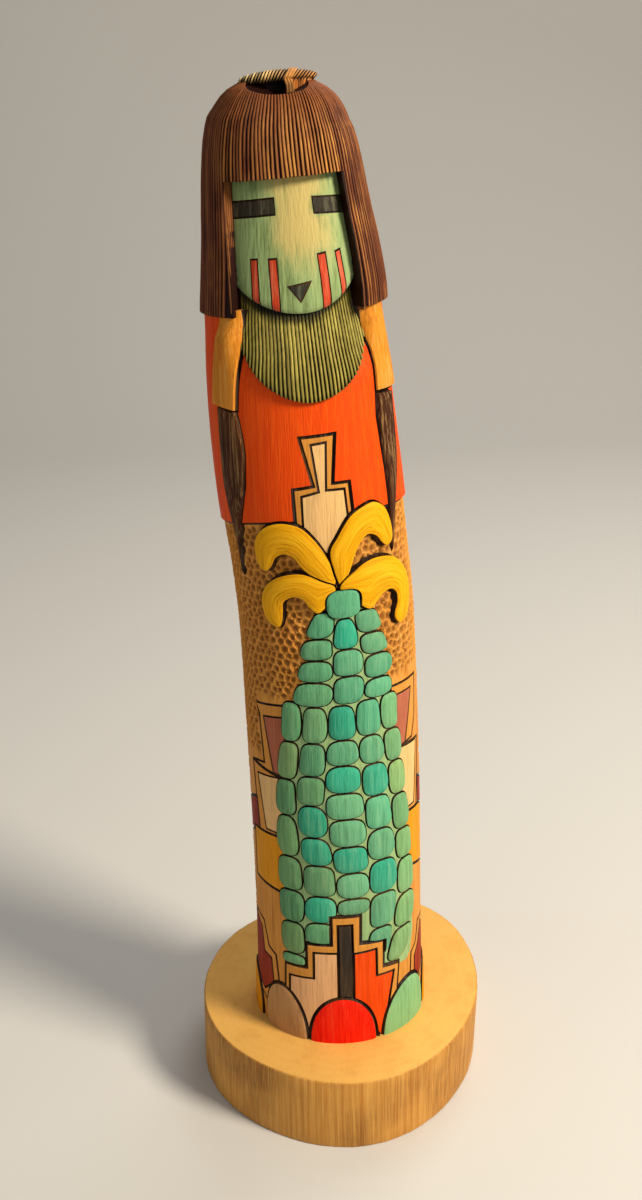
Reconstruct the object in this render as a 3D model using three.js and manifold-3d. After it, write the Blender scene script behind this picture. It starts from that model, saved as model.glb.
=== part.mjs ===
// Carved and painted kachina doll: one bent root carved as a maiden with an ear of corn, standing on a
// round wood slice. Millimetres, +Z up, front towards -Y, origin under the middle of the slice.
import * as THREE from "three";
import { mergeVertices } from "three/addons/utils/BufferGeometryUtils.js";
import Module from "manifold-3d";

const wasm = await Module();
wasm.setup();

// ---- Driving dimensions ----
const SLICE = {
  height: 28, radius: 51.2,
  // How far the slice is out of round: [waves round the edge, cosine, sine].
  waves: [[2, -0.2, 1.35], [3, -1.2, 0.9], [4, -0.35, -0.15], [5, 0.25, -0.35]],
  slant: [-1.0, -0.25], // shift of the underside against the top
  chamfer: 0.6, sides: 56,
};
const FOOT = [0, -6.1]; // where the figure stands on the slice
const GIRTH = 30; // radius of the arc that every sideways position below is measured along
const FLATNESS = 0.86; // depth of the root over its width
// The bent root: [height, sideways centre, half width].
const ROOT = [
  [28, 0, 29.6], [60, 0.1, 29.0], [100, 0, 28.6], [140, -0.6, 28.3], [180, -1.7, 27.8], [200, -3.3, 27.9],
  [220, -5.4, 28.0], [240, -7.2, 27.4], [258, -8.4, 26.4], [272, -9.0, 25.3], [300, -10, 24], [337, -12, 23],
];
const HAIR = [
  [270, -8.9, 27.3], [280, -8.8, 26.9], [290, -9.3, 25.7], [300, -10.1, 24.2], [310, -10.8, 22.9],
  [318, -11.3, 21.7], [324, -11.5, 20.3], [328, -11.4, 18.5], [333, -11.4, 14.5], [336, -11.4, 9.0],
];
const STRANDS = { count: 40, depth: 0.8, rim: 276.4, rimRise: 1.6, step: 0.03 };
const HEM = { front: 218.5, drop: 3, thick: 0.8 };
const WINDOW = { left: [-24.2, -22.8], right: [30, 26], top: 312, bottom: 272, sunk: 5.2, face: 4 };
const CHIN = { centre: 2, bottom: 276.8, rise: 7.2, half: 24 };
const BEARD = { centre: 4, half: 22.8, top: 273, drop: 20, ribs: 20, proud: 2, ribDepth: 0.5 };
const ARMS = {
  thick: 2, bottom: 251.5, top: 280,
  left: { bottom: [-37, -21.5], top: [-29, -17.6] }, right: { bottom: [27.3, 47], top: [25.2, 37] },
};
// Locks of hair hanging down the arms: [height, middle, half width].
const LOCKS = {
  thick: 1.7,
  left: [[250, -27.7, 7], [238, -28, 8.3], [220, -29.2, 5.2], [210, -29.6, 2.6], [201, -30.4, 0.5]],
  right: [[251.5, 34.2, 8], [238, 33, 6.2], [220, 30.8, 3.6], [210, 29.1, 1.9], [203, 27.8, 0.5]],
};
// Husk leaves: the bend of each one as [sideways, height, width] from the root of the leaf to its tip.
const LEAVES = {
  thick: 1.2, dome: 0.7,
  shapes: [
    [[4.5, 198, 3], [0.5, 207, 6.5], [-6, 213, 9], [-13, 213.6, 9.4], [-17, 209, 6.6], [-17, 204.8, 3]],
    [[5.5, 200, 3], [9.5, 210, 7.5], [15, 215.5, 9.5], [21, 215.3, 9.2], [24, 210.5, 6.4], [24.6, 206.6, 3]],
    [[3.5, 196, 4], [-2.5, 198.3, 8], [-9.5, 199, 8], [-15.5, 196, 8.4], [-17.6, 190, 7], [-16.4, 186, 3.6]],
    [[7, 195.5, 4], [13, 198.5, 9], [21, 198, 10.5], [27.8, 194, 10], [29.5, 187.5, 6.8], [27.4, 182.4, 3.6]],
  ],
};
// The ear of corn. Each tier lists the edges of its columns at a few heights, bottom to top, and the
// heights where the kernels of each column meet.
const EAR = {
  groove: 0.9, thick: 0.5, dome: 0.9,
  tiers: [
    {
      edges: [
        [60, -22.2, -12.4, -2.2, 10, 20.5, 33.2], [90, -22.8, -12.2, -0.6, 10.9, 22.3, 32],
        [125, -22, -13.5, -3.4, 9.5, 19.6, 28], [152, -17.8, -9.8, -1.4, 8, 16.8, 24.6],
      ],
      joints: [
        [58, 63, 76, 88.8, 102, 117.7, 131.3, 145.2, 159.5], [68.5, 77.4, 88, 100, 110.6, 122.6, 133.4, 145.3, 158],
        [80.4, 87, 97, 107.1, 117.5, 127.2, 137.2, 146.3, 158.4], [57, 71, 87, 100, 112, 124.5, 136.4, 146.7, 159.2],
        [69.8, 83, 97, 108.6, 122.3, 135, 146.8, 159.6],
      ],
    },
    {
      edges: [[160, -13.2, 0.7, 11, 22.4], [171, -10.2, 1.2, 11.7, 22.9], [179, -8.6, 1.7, 10.4, 20.6], [188, -4.6, 3.2, 9, 18]],
      joints: [[158, 166.4, 173.8, 181, 189.8], [158.6, 168, 177, 187], [159, 165.8, 173.8, 181, 188.6]],
    },
    { edges: [[187, 1.2, 11.4], [195.4, 1.6, 11]], joints: [[187.2, 195.3]] },
  ],
};
const STEPS = { thick: 0.9, bottom: 30, treads: [[-3, 7.4, 80.2], [-12, 16, 68.4], [-20.8, 22.7, 57.8]] };
// Half discs round the foot: [middle, half width, height].
const DISCS = {
  thick: 0.35, dome: 0.9,
  shapes: [[0.7, 12, 19], [27, 12.2, 20], [51, 11.5, 18.5], [74.5, 11, 19], [95.5, 9, 18], [-70, 11.5, 18.5],
    [-46, 11.5, 18], [-22, 10.2, 20]],
};
// Carved outlines: closed loops of [sideways, height].
const LINES = {
  width: 1.3, depth: 0.7,
  tablet: [[-0.8, 243], [10.2, 243], [7.7, 228.7], [13.1, 228.3], [13.1, 212], [-5.4, 212], [-4.6, 228.2], [1.9, 228.6]],
};
const TUFT = { width: 11.6, depth: 8.6, bottom: 334.6, top: 339, barbs: 20, barbDepth: 0.5 };

// ---- Curves ----

// A smooth line through rows of numbers: the first number of a row is where it lies, the rest are its values.
function through(rows) {
  const slope = (i, k) => {
    const [a, b] = [rows[Math.max(i - 1, 0)], rows[Math.min(i + 1, rows.length - 1)]];
    return (b[k] - a[k]) / (b[0] - a[0]);
  };
  return (at) => {
    let i = rows.findIndex((row) => row[0] > at) - 1;
    if (i === -2) i = rows.length - 2;
    i = THREE.MathUtils.clamp(i, 0, rows.length - 2);
    const [a, b] = [rows[i], rows[i + 1]];
    const span = b[0] - a[0];
    const t = THREE.MathUtils.clamp((at - a[0]) / span, 0, 1);
    return a.slice(1).map((from, n) => {
      const k = n + 1;
      const [h1, h2] = [t * t * (3 - 2 * t), t * t * t - 2 * t * t + t];
      return from * (1 - h1) + b[k] * h1 + (h2 * slope(i, k) + (t * t * t - t * t) * slope(i + 1, k)) * span;
    });
  };
}

const rootLine = through(ROOT);
const hairLine = through(HAIR);
const ease = (from, to, at) => THREE.MathUtils.smoothstep(at, from, to);

// A point on the bent root: across is the arc from the middle of the front, height is along the root,
// and out is how far the point stands off the surface.
function onRoot(across, height, out = 0, line = rootLine) {
  const [centre, half] = line(height);
  const tilt = (line(height + 0.5)[0] - line(height - 0.5)[0]);
  const level = 1 / Math.hypot(1, tilt);
  const reach = half + out;
  const turn = across / GIRTH;
  return new THREE.Vector3(
    centre + reach * Math.sin(turn) * level,
    -FLATNESS * reach * Math.cos(turn),
    height - reach * Math.sin(turn) * tilt * level,
  );
}
const onHair = (across, height, out = 0) => onRoot(across, height, out, hairLine);

// ---- Closed meshes and solids ----

// A solid from points and triangles, turned so that its faces point out.
function solid(points, faces) {
  const volume = faces.reduce((sum, [a, b, c]) =>
    sum + points[a].dot(new THREE.Vector3().crossVectors(points[b], points[c])), 0);
  const turned = volume < 0 ? faces.map(([a, b, c]) => [a, c, b]) : faces;
  const geometry = new THREE.BufferGeometry().setFromPoints(points);
  geometry.setIndex(turned.flat());
  return fromGeometry(geometry);
}

function fromGeometry(geometry) {
  geometry.deleteAttribute("normal");
  geometry.deleteAttribute("uv");
  const merged = mergeVertices(geometry, 1e-4);
  const vertProperties = new Float32Array(merged.attributes.position.array);
  return new wasm.Manifold(new wasm.Mesh({ numProp: 3, vertProperties, triVerts: new Uint32Array(merged.index.array) }));
}

// A solid skinned over rings of points, with a fan over each end; the last fan may rise to a shallow peak.
function loft(rings, peak = 0) {
  const count = rings[0].length;
  const points = rings.flat();
  const faces = [];
  for (let row = 0; row + 1 < rings.length; row++)
    for (let i = 0; i < count; i++) {
      const [a, b] = [row * count + i, row * count + ((i + 1) % count)];
      faces.push([a, b, b + count], [a, b + count, a + count]);
    }
  for (const [ring, first, turn] of [[rings[0], 0, 1], [rings.at(-1), (rings.length - 1) * count, 0]]) {
    const middle = points.length;
    const centre = ring.reduce((sum, p) => sum.add(p), new THREE.Vector3()).divideScalar(count);
    const facing = new THREE.Vector3(centre.x, centre.y, 0).normalize().multiplyScalar(turn ? 0 : peak);
    points.push(centre.add(facing));
    for (let i = 0; i < count; i++) {
      const [a, b] = [first + i, first + ((i + 1) % count)];
      faces.push(turn ? [middle, b, a] : [middle, a, b]);
    }
  }
  return solid(points, faces);
}

// A plate with rows and columns of facets: outer and inner give its two skins for u across and v along.
function plate(columns, rows, outer, inner) {
  const points = [];
  for (const skin of [outer, inner])
    for (let j = 0; j <= rows; j++) for (let i = 0; i <= columns; i++) points.push(skin(i / columns, j / rows));
  const back = (rows + 1) * (columns + 1);
  const at = (i, j) => j * (columns + 1) + i;
  const faces = [];
  for (let j = 0; j < rows; j++)
    for (let i = 0; i < columns; i++) {
      const [a, b, c, d] = [at(i, j), at(i + 1, j), at(i + 1, j + 1), at(i, j + 1)];
      faces.push([a, b, c], [a, c, d], [back + a, back + c, back + b], [back + a, back + d, back + c]);
    }
  const wall = (a, b) => faces.push([a, back + a, back + b], [a, back + b, b]);
  for (let i = 0; i < columns; i++) {
    wall(at(i, 0), at(i + 1, 0));
    wall(at(i + 1, rows), at(i, rows));
  }
  for (let j = 0; j < rows; j++) {
    wall(at(0, j + 1), at(0, j));
    wall(at(columns, j), at(columns, j + 1));
  }
  return solid(points, faces);
}

// A cushion on the root with a rounded outline: edge gives the outline for an angle, and the top swells.
function pillow(edge, sides, middle, thick, dome) {
  const ring = (scale, out) => Array.from({ length: sides }, (_, i) => {
    const [x, z] = edge(((i + 0.5) / sides) * Math.PI * 2);
    return onRoot(middle[0] + (x - middle[0]) * scale, middle[1] + (z - middle[1]) * scale, out);
  });
  return loft([ring(1, -1), ring(0.86, thick + dome * 0.7)], dome * 0.3);
}

const joined = (solids) => solids.reduce((sum, next) => sum.add(next));

// ---- The figure ----

// The shaft of the root with the edge of the cape, hollowed under the chin to take the beard.
function makeShaft() {
  const turns = 30;
  const heights = [SLICE.height, 72, 116, 150, 178, 200, "under", "over", 232, 246, 256, 263, 270, 277];
  return loft(heights.map((row) => Array.from({ length: turns }, (_, i) => {
    const across = (i / turns) * Math.PI * 2 * GIRTH - Math.PI * GIRTH;
    const hem = HEM.front - HEM.drop * ease(10, 50, Math.abs(across));
    const named = typeof row === "string";
    const height = named ? hem + (row === "over" ? 0.25 : -0.25) : row;
    const inCape = row === "over" || (!named && row > HEM.front);
    const edge = inCape ? HEM.thick / 2 : (-HEM.thick / 2) * ease(180, 205, height);
    const hollow = 4.5 * ease(256, 277, height) * (1 - ease(20, 27, Math.abs(across - BEARD.centre)));
    const point = onRoot(across, height, edge - hollow);
    if (row === SLICE.height) point.z = SLICE.height;
    return point;
  })));
}

// The cap of hair, combed into strands from the crown down to its cut rim.
function makeHair() {
  const turns = STRANDS.count * 2;
  const heights = ["rim", 294, 308, 317.5, 325, 331.5, 336];
  return loft(heights.map((row, n) => Array.from({ length: turns }, (_, i) => {
    const across = (i / turns) * Math.PI * 2 * GIRTH - Math.PI * GIRTH;
    const height = row === "rim" ? STRANDS.rim + STRANDS.rimRise * Math.sin(across / GIRTH) : row;
    const groove = i % 2 ? STRANDS.depth * (1 - 0.6 * ease(326, 336, height)) : 0;
    return onHair(across, height, -groove);
  })));
}

const between = ([low, high], t) => low + (high - low) * t;
const chinAt = (across) => CHIN.bottom + CHIN.rise * ((across - CHIN.centre) / CHIN.half) ** 2;

// The opening cut straight back into the hair for the face.
function makeWindow() {
  const floor = (u, v) => {
    const height = between([WINDOW.bottom, WINDOW.top], v);
    const lower = (WINDOW.top - height) / (WINDOW.top - 275);
    const across = between([between(WINDOW.left, lower), between(WINDOW.right, lower)], u);
    return onHair(across, height, -WINDOW.sunk);
  };
  return plate(8, 3, (u, v) => floor(u, v).add(new THREE.Vector3(0, -16, 0)), floor);
}

// The flat painted face, rounded at the chin, standing a little proud of the beard.
function makeFace() {
  const skin = (out) => (u, v) => {
    const across = between([between([-23.6, -24.8], v), between([27.2, 31], v)], u);
    return onHair(across, between([chinAt(across), WINDOW.top + 2], v), out);
  };
  return plate(12, 4, skin(-WINDOW.face), skin(-WINDOW.face - 2.5));
}

// The beard: fine ribs running down from under the chin to a rounded lower edge.
function makeBeard() {
  const skin = (inner) => (u, v) => {
    const across = BEARD.centre + BEARD.half * (2 * u - 1);
    const low = BEARD.top - BEARD.drop * Math.sqrt(Math.max(0, 1 - ((across - BEARD.centre) / BEARD.half) ** 2));
    const height = between([low, chinAt(across) + 1.2], v);
    const rib = Math.round(u * BEARD.ribs * 2) % 2 ? 0 : BEARD.ribDepth;
    const out = BEARD.proud - 4.9 * ease(256, 281, height);
    return onRoot(across, height, inner ? out - 3.2 : out - rib);
  };
  return plate(BEARD.ribs * 2, 4, skin(false), skin(true));
}

function makeArm({ bottom, top }) {
  const skin = (out) => (u, v) =>
    onRoot(between([between([bottom[0], top[0]], v), between([bottom[1], top[1]], v)], u),
      between([ARMS.bottom, ARMS.top], v), out);
  return plate(4, 3, skin(ARMS.thick), skin(-2));
}

function makeLock(shape) {
  const line = through([...shape].reverse());
  const [low, high] = [shape.at(-1)[0], shape[0][0]];
  const skin = (inner) => (u, v) => {
    const height = between([low, high], v);
    const [middle, half] = line(height);
    const ridge = inner ? -1.5 : (LOCKS.thick + (Math.round(u * 4) % 2 ? 0.3 : 0)) * (0.55 + 0.45 * ease(low, low + 30, height));
    return onRoot(middle + half * (2 * u - 1), height, ridge);
  };
  return plate(4, 6, skin(false), skin(true));
}

// A husk leaf: a rounded blade laid along its bend.
function makeLeaf(shape) {
  const spine = new THREE.SplineCurve(shape.map(([x, z]) => new THREE.Vector2(x, z)));
  const width = through(shape.map(([, , w], i) => [i / (shape.length - 1), w]));
  const skin = (inner) => (u, v) => {
    const [at, along] = [spine.getPoint(v), spine.getTangent(v)];
    const aside = (u - 0.5) * width(v)[0];
    const out = inner ? -1.5 : LEAVES.thick + LEAVES.dome * (1 - (2 * u - 1) ** 2);
    return onRoot(at.x + along.y * aside, at.y - along.x * aside, out);
  };
  return plate(4, 8, skin(false), skin(true));
}

// The kernels, each filling its cell of the ear between the column edges and the joints.
function makeKernels() {
  const kernels = [];
  for (const { edges, joints } of EAR.tiers) {
    const edgeLine = through(edges);
    joints.forEach((ends, column) => {
      for (let i = 0; i + 1 < ends.length; i++) {
        const [low, high] = [ends[i], ends[i + 1]];
        const middleHeight = (low + high) / 2;
        const sideAt = (height, side) => edgeLine(height)[column + side];
        const outline = (turn) => {
          const [c, s] = [Math.cos(turn), Math.sin(turn)];
          const square = 1 / (Math.abs(c) ** 3 + Math.abs(s) ** 3) ** (1 / 3);
          const height = middleHeight + s * square * (high - low - EAR.groove) / 2;
          const [left, right] = [sideAt(height, 0), sideAt(height, 1)];
          return [(left + right) / 2 + c * square * (right - left - EAR.groove) / 2, height];
        };
        const middle = [(sideAt(middleHeight, 0) + sideAt(middleHeight, 1)) / 2, middleHeight];
        kernels.push(pillow(outline, 8, middle, EAR.thick, EAR.dome));
      }
    });
  }
  return kernels;
}

// The stepped terrace that cuts across the foot of the ear.
function makeSteps() {
  return STEPS.treads.map(([left, right, top], i) => {
    const skin = (out) => (u, v) => onRoot(between([left, right], u), between([STEPS.bottom, top], v), out);
    return plate(Math.ceil((right - left) / 6.5), 1, skin(STEPS.thick - 0.1 * i), skin(-1.5));
  });
}

function makeDisc([middle, half, height]) {
  const foot = SLICE.height + 0.1;
  const outline = (turn) => [middle + half * Math.cos(turn), foot + height * Math.max(0, Math.sin(turn))];
  const ring = (scale, out) => Array.from({ length: 9 }, (_, i) => {
    const [x, z] = outline((i / 8) * Math.PI);
    return onRoot(middle + (x - middle) * scale, foot + (z - foot) * scale, out);
  });
  return loft([ring(1, -1.4), ring(1, DISCS.thick), ring(0.6, DISCS.thick + DISCS.dome)]);
}

// A carved V line along a closed loop on the surface.
function makeLine(loop) {
  const corners = loop.map(([x, z]) => new THREE.Vector2(x, z));
  const count = corners.length;
  const aside = corners.map((corner, i) => {
    const before = corner.clone().sub(corners[(i + count - 1) % count]).normalize();
    const after = corners[(i + 1) % count].clone().sub(corner).normalize();
    const mitre = new THREE.Vector2(before.y + after.y, -before.x - after.x);
    return mitre.multiplyScalar(1 / (1 + before.dot(after)));
  });
  const rings = corners.map((corner, i) => [[-1, 1.5], [0, -LINES.depth], [1, 1.5]].map(([side, out]) => {
    const grow = side * (LINES.width / 2) * (out > 0 ? (LINES.depth + 1.5) / LINES.depth : 1);
    return onRoot(corner.x + aside[i].x * grow, corner.y + aside[i].y * grow, out + 0.4);
  }));
  const points = rings.flat();
  const faces = [];
  for (let i = 0; i < count; i++)
    for (let k = 0; k < 3; k++) {
      const [a, b] = [i * 3 + k, i * 3 + ((k + 1) % 3)];
      const [c, d] = [((i + 1) % count) * 3 + k, ((i + 1) % count) * 3 + ((k + 1) % 3)];
      faces.push([a, b, d], [a, d, c]);
    }
  return solid(points, faces);
}

// The tied tuft on the crown: a fluted lens on a short neck.
function makeTuft() {
  const [middle] = hairLine(336);
  const rows = [[0.42, 329], [0.46, TUFT.bottom - 1.6], [0.97, TUFT.bottom + 1.3], [0.98, TUFT.bottom + 2.7],
    [0.5, TUFT.top]];
  return loft(rows.map(([scale, height]) => Array.from({ length: TUFT.barbs * 2 }, (_, i) => {
    const turn = (i / TUFT.barbs) * Math.PI;
    const flute = i % 2 ? TUFT.barbDepth * ease(0.3, 0.9, scale) : 0;
    const droop = -1.1 * Math.cos(turn) ** 2 * ease(0.5, 1, scale);
    return new THREE.Vector3(middle + (TUFT.width * scale - flute) * Math.cos(turn),
      (TUFT.depth * scale - flute) * Math.sin(turn), height + droop);
  })));
}

function makeFigure() {
  const head = makeHair().subtract(makeWindow()).add(makeFace());
  return joined([
    makeShaft().subtract(makeLine(LINES.tablet)), head, makeBeard(), makeArm(ARMS.left), makeArm(ARMS.right),
    makeLock(LOCKS.left), makeLock(LOCKS.right), ...LEAVES.shapes.map(makeLeaf), ...makeKernels(),
    ...makeSteps(), ...DISCS.shapes.map(makeDisc), makeTuft(),
  ]);
}

// ---- The slice ----

function makeSlice() {
  const edge = (turn) => SLICE.waves.reduce((sum, [n, c, s]) => sum + c * Math.cos(n * turn) + s * Math.sin(n * turn), SLICE.radius);
  const ring = (height, inset) => Array.from({ length: SLICE.sides }, (_, i) => {
    const turn = (i / SLICE.sides) * Math.PI * 2;
    const low = 1 - height / SLICE.height;
    return new THREE.Vector3((edge(turn) - inset) * Math.cos(turn) + SLICE.slant[0] * low,
      (edge(turn) - inset) * Math.sin(turn) + SLICE.slant[1] * low, height);
  });
  const { height, chamfer } = SLICE;
  const rings = [ring(0, chamfer), ring(chamfer, 0), ring(height - chamfer, 0), ring(height, chamfer)];
  const box = new THREE.Box3().setFromPoints(rings.flat());
  const middle = box.getCenter(new THREE.Vector3());
  rings.flat().forEach((point) => point.sub(new THREE.Vector3(middle.x, middle.y, 0)));
  return loft(rings);
}

// ---- The scene graph ----

function meshOf(name, shape, color, roughness) {
  const { vertProperties, triVerts } = shape.getMesh();
  const geometry = new THREE.BufferGeometry();
  geometry.setAttribute("position", new THREE.BufferAttribute(new Float32Array(vertProperties), 3));
  geometry.setIndex(new THREE.BufferAttribute(new Uint32Array(triVerts), 1));
  geometry.computeVertexNormals();
  const mesh = new THREE.Mesh(geometry, new THREE.MeshStandardMaterial({ color, roughness, metalness: 0 }));
  mesh.name = name;
  return mesh;
}

const doll = new THREE.Group();
doll.name = "kachina_doll";
const figure = meshOf("figure", makeFigure(), 0xc8823c, 0.65);
figure.position.set(FOOT[0], FOOT[1], 0);
doll.add(figure, meshOf("base", makeSlice(), 0xe0c493, 0.7));

export default doll;
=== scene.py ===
import math
import random
import bpy
import numpy as np
from mathutils import Matrix, Vector
from mathutils.geometry import delaunay_2d_cdt


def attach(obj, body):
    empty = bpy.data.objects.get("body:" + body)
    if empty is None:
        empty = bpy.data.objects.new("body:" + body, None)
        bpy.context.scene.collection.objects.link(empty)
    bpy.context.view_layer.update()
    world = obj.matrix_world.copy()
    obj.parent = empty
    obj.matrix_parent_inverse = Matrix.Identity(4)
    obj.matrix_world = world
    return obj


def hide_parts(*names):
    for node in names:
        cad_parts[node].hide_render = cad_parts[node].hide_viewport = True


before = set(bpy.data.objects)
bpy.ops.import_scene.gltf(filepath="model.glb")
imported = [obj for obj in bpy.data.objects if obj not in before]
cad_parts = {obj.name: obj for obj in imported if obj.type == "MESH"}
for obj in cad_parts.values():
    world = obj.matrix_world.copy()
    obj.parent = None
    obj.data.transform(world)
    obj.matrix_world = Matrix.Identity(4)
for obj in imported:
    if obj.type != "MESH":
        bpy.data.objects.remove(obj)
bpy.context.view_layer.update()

print("stage: frame loaded")

# Everything carved is drawn flat, in millimetres, and then laid round the bent root: across is the arc from
# the middle of the front, height is along the root, and out is how far a point stands off the surface.

root = {
    "foot": (0.0, -6.1),
    "girth": 30.0,          # radius of the arc that across is measured along
    "flatness": 0.86,
    "floor": 28.0,          # top of the slice
    "shaft": [(28, 0, 29.6), (60, 0.1, 29.0), (100, 0, 28.6), (140, -0.6, 28.3), (180, -1.7, 27.8),
              (200, -3.3, 27.9), (220, -5.4, 28.0), (240, -7.2, 27.4), (258, -8.4, 26.4), (272, -9.0, 25.3),
              (300, -10, 24), (337, -12, 23)],
    "hair": [(270, -8.9, 27.3), (280, -8.8, 26.9), (290, -9.3, 25.7), (300, -10.1, 24.2), (310, -10.8, 22.9),
             (318, -11.3, 21.7), (324, -11.5, 20.3), (328, -11.4, 18.5), (333, -11.4, 14.5), (336, -11.4, 9.0)],
}
around = 2 * math.pi * root["girth"]


def through(rows):
    # a smooth line through rows of numbers, the first of each row being where it lies
    table = np.array(rows, float)
    at, values = table[:, 0], table[:, 1:]
    before, after = np.maximum(np.arange(len(at)) - 1, 0), np.minimum(np.arange(len(at)) + 1, len(at) - 1)
    slopes = (values[after] - values[before]) / (at[after] - at[before])[:, None]

    def line(where):
        where = np.asarray(where, float)
        i = np.clip(np.searchsorted(at, where, side="right") - 1, 0, len(at) - 2)
        gap = at[i + 1] - at[i]
        t = np.clip((where - at[i]) / gap, 0, 1)[..., None]
        rise = t * t * (3 - 2 * t)
        bend = (t ** 3 - 2 * t * t + t) * slopes[i] + (t ** 3 - t * t) * slopes[i + 1]
        return values[i] * (1 - rise) + values[i + 1] * rise + bend * gap[..., None]
    return line


shaftLine = through(root["shaft"])
hairLine = through(root["hair"])


def ease(low, high, at):
    t = np.clip((np.asarray(at, float) - low) / (high - low), 0, 1)
    return t * t * (3 - 2 * t)


def tiltAt(line, height):
    return line(height + 0.5)[..., 0] - line(height - 0.5)[..., 0]


def onRoot(across, height, out=0.0, line=shaftLine):
    across, height, out = np.broadcast_arrays(*[np.asarray(v, float) for v in (across, height, out)])
    centre, half = np.moveaxis(line(height), -1, 0)
    tilt = tiltAt(line, height)
    level = 1 / np.hypot(1, tilt)
    turn, reach = across / root["girth"], half + out
    return np.stack([centre + reach * np.sin(turn) * level + root["foot"][0],
                     -root["flatness"] * reach * np.cos(turn) + root["foot"][1],
                     height - reach * np.sin(turn) * tilt * level], -1)


def offRoot(points, line=shaftLine):
    # the way back from a point in space to across, height and out
    x, y, z = (points - np.array([*root["foot"], 0])).T
    height = z.copy()
    for _ in range(6):
        centre, half = line(height).T
        tilt = tiltAt(line, height)
        height = z + (x - centre) * tilt
    side, depth = (x - centre) * np.hypot(1, tilt), y / root["flatness"]
    return np.arctan2(side, -depth) * root["girth"], height, np.hypot(side, depth) - half


def linear(colour):
    return tuple(c / 12.92 if c <= 0.04045 else ((c + 0.055) / 1.055) ** 2.4 for c in colour)


def addObject(name, data):
    thing = bpy.data.objects.new(name, data)
    bpy.context.scene.collection.objects.link(thing)
    return thing


def smoothUp(mesh, angle):
    mesh.polygons.foreach_set("use_smooth", [True] * len(mesh.polygons))
    mesh.set_sharp_from_angle(angle=math.radians(angle))


def makeMesh(name, points, faces, materials, slots=None, paint=None, smooth=35.0):
    # points in millimetres; slots and paint are the material and the colour of each face
    mesh = bpy.data.meshes.new(name)
    mesh.from_pydata((np.asarray(points) / 1000).tolist(), [], [tuple(map(int, f)) for f in faces])
    for material in materials:
        mesh.materials.append(material)
    if slots is not None:
        mesh.polygons.foreach_set("material_index", np.asarray(slots, np.int32))
        tones = np.repeat(np.hstack([paint, np.ones((len(paint), 1))]), [len(f) for f in faces], axis=0)
        mesh.attributes.new("paint", "FLOAT_COLOR", "CORNER").data.foreach_set("color", tones.ravel())
    mesh.validate()
    smoothUp(mesh, smooth)
    return addObject(name, mesh)


def addValues(thing, name, values):
    # one value for all points, a value for each, or a vector for each
    values = np.asarray(values, float)
    kind, key = ("FLOAT_VECTOR", "vector") if values.ndim == 2 else ("FLOAT", "value")
    if values.ndim == 0:
        values = np.full(len(thing.data.vertices), values)
    thing.data.attributes.new(name, kind, "POINT").data.foreach_set(key, values.ravel())


def pointsOf(thing):
    found = np.empty(len(thing.data.vertices) * 3)
    thing.data.vertices.foreach_get("co", found)
    return found.reshape(-1, 3) * 1000


def baked(thing):
    # the mesh as its modifiers make it
    mesh = bpy.data.meshes.new_from_object(thing.evaluated_get(bpy.context.evaluated_depsgraph_get()))
    thing.modifiers.clear()
    return mesh


def pairs(x, y):
    return np.stack(np.broadcast_arrays(x, y), 1)


def smoothLoop(points, step):
    # a closed round line through the points
    pts = np.array(points, float)
    made = []
    for a, b, c, d in zip(np.roll(pts, 1, 0), pts, np.roll(pts, -1, 0), np.roll(pts, -2, 0)):
        parts = max(2, int(round(np.linalg.norm(c - b) / step)))
        t = (np.arange(parts) / parts)[:, None]
        curve = (2 * a - 5 * b + 4 * c - d) * t * t + (3 * b - a - 3 * c + d) * t ** 3
        made.append(0.5 * (2 * b + (c - a) * t + curve))
    return np.vstack(made)


def straightLoop(points, step):
    pts = np.array(points, float)
    made = []
    for a, b in zip(pts, np.roll(pts, -1, axis=0)):
        parts = max(1, int(round(np.linalg.norm(b - a) / step)))
        made.append(a + (b - a) * np.arange(parts)[:, None] / parts)
    return np.vstack(made)


def grow(loop, by):
    # the loop moved outwards, mitred at its corners
    before, after = loop - np.roll(loop, 1, axis=0), np.roll(loop, -1, axis=0) - loop
    before /= np.linalg.norm(before, axis=1)[:, None]
    after /= np.linalg.norm(after, axis=1)[:, None]
    side = np.stack([before[:, 1] + after[:, 1], -before[:, 0] - after[:, 0]], 1)
    side /= np.maximum(1 + np.sum(before * after, axis=1), 0.35)[:, None]
    x, y = loop.T
    return loop + side * by * np.sign(np.sum(x * np.roll(y, -1) - y * np.roll(x, -1)))


def nearLine(points, line):
    # distance to an open line, and how far along it the nearest place is
    best, run, walked = np.full(len(points), 1e9), np.zeros(len(points)), 0.0
    for a, b in zip(line, line[1:]):
        length = np.linalg.norm(b - a)
        t = np.clip((points - a) @ (b - a) / max(length ** 2, 1e-12), 0, 1)
        apart = np.linalg.norm(points - a - t[:, None] * (b - a), axis=1)
        run = np.where(apart < best, walked + t * length, run)
        best = np.minimum(best, apart)
        walked += length
    return best, run


def inside(points, loop):
    # distance from each point to the loop, positive inside it
    closed = np.vstack([loop, loop[:1]])
    odd = np.zeros(len(points), bool)
    for a, b in zip(closed, closed[1:]):
        if a[1] != b[1]:
            over = (a[1] > points[:, 1]) != (b[1] > points[:, 1])
            odd ^= over & (points[:, 0] < a[0] + (points[:, 1] - a[1]) / (b[1] - a[1]) * (b[0] - a[0]))
    best = nearLine(points, closed)[0]
    return np.where(odd, best, -best)


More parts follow.
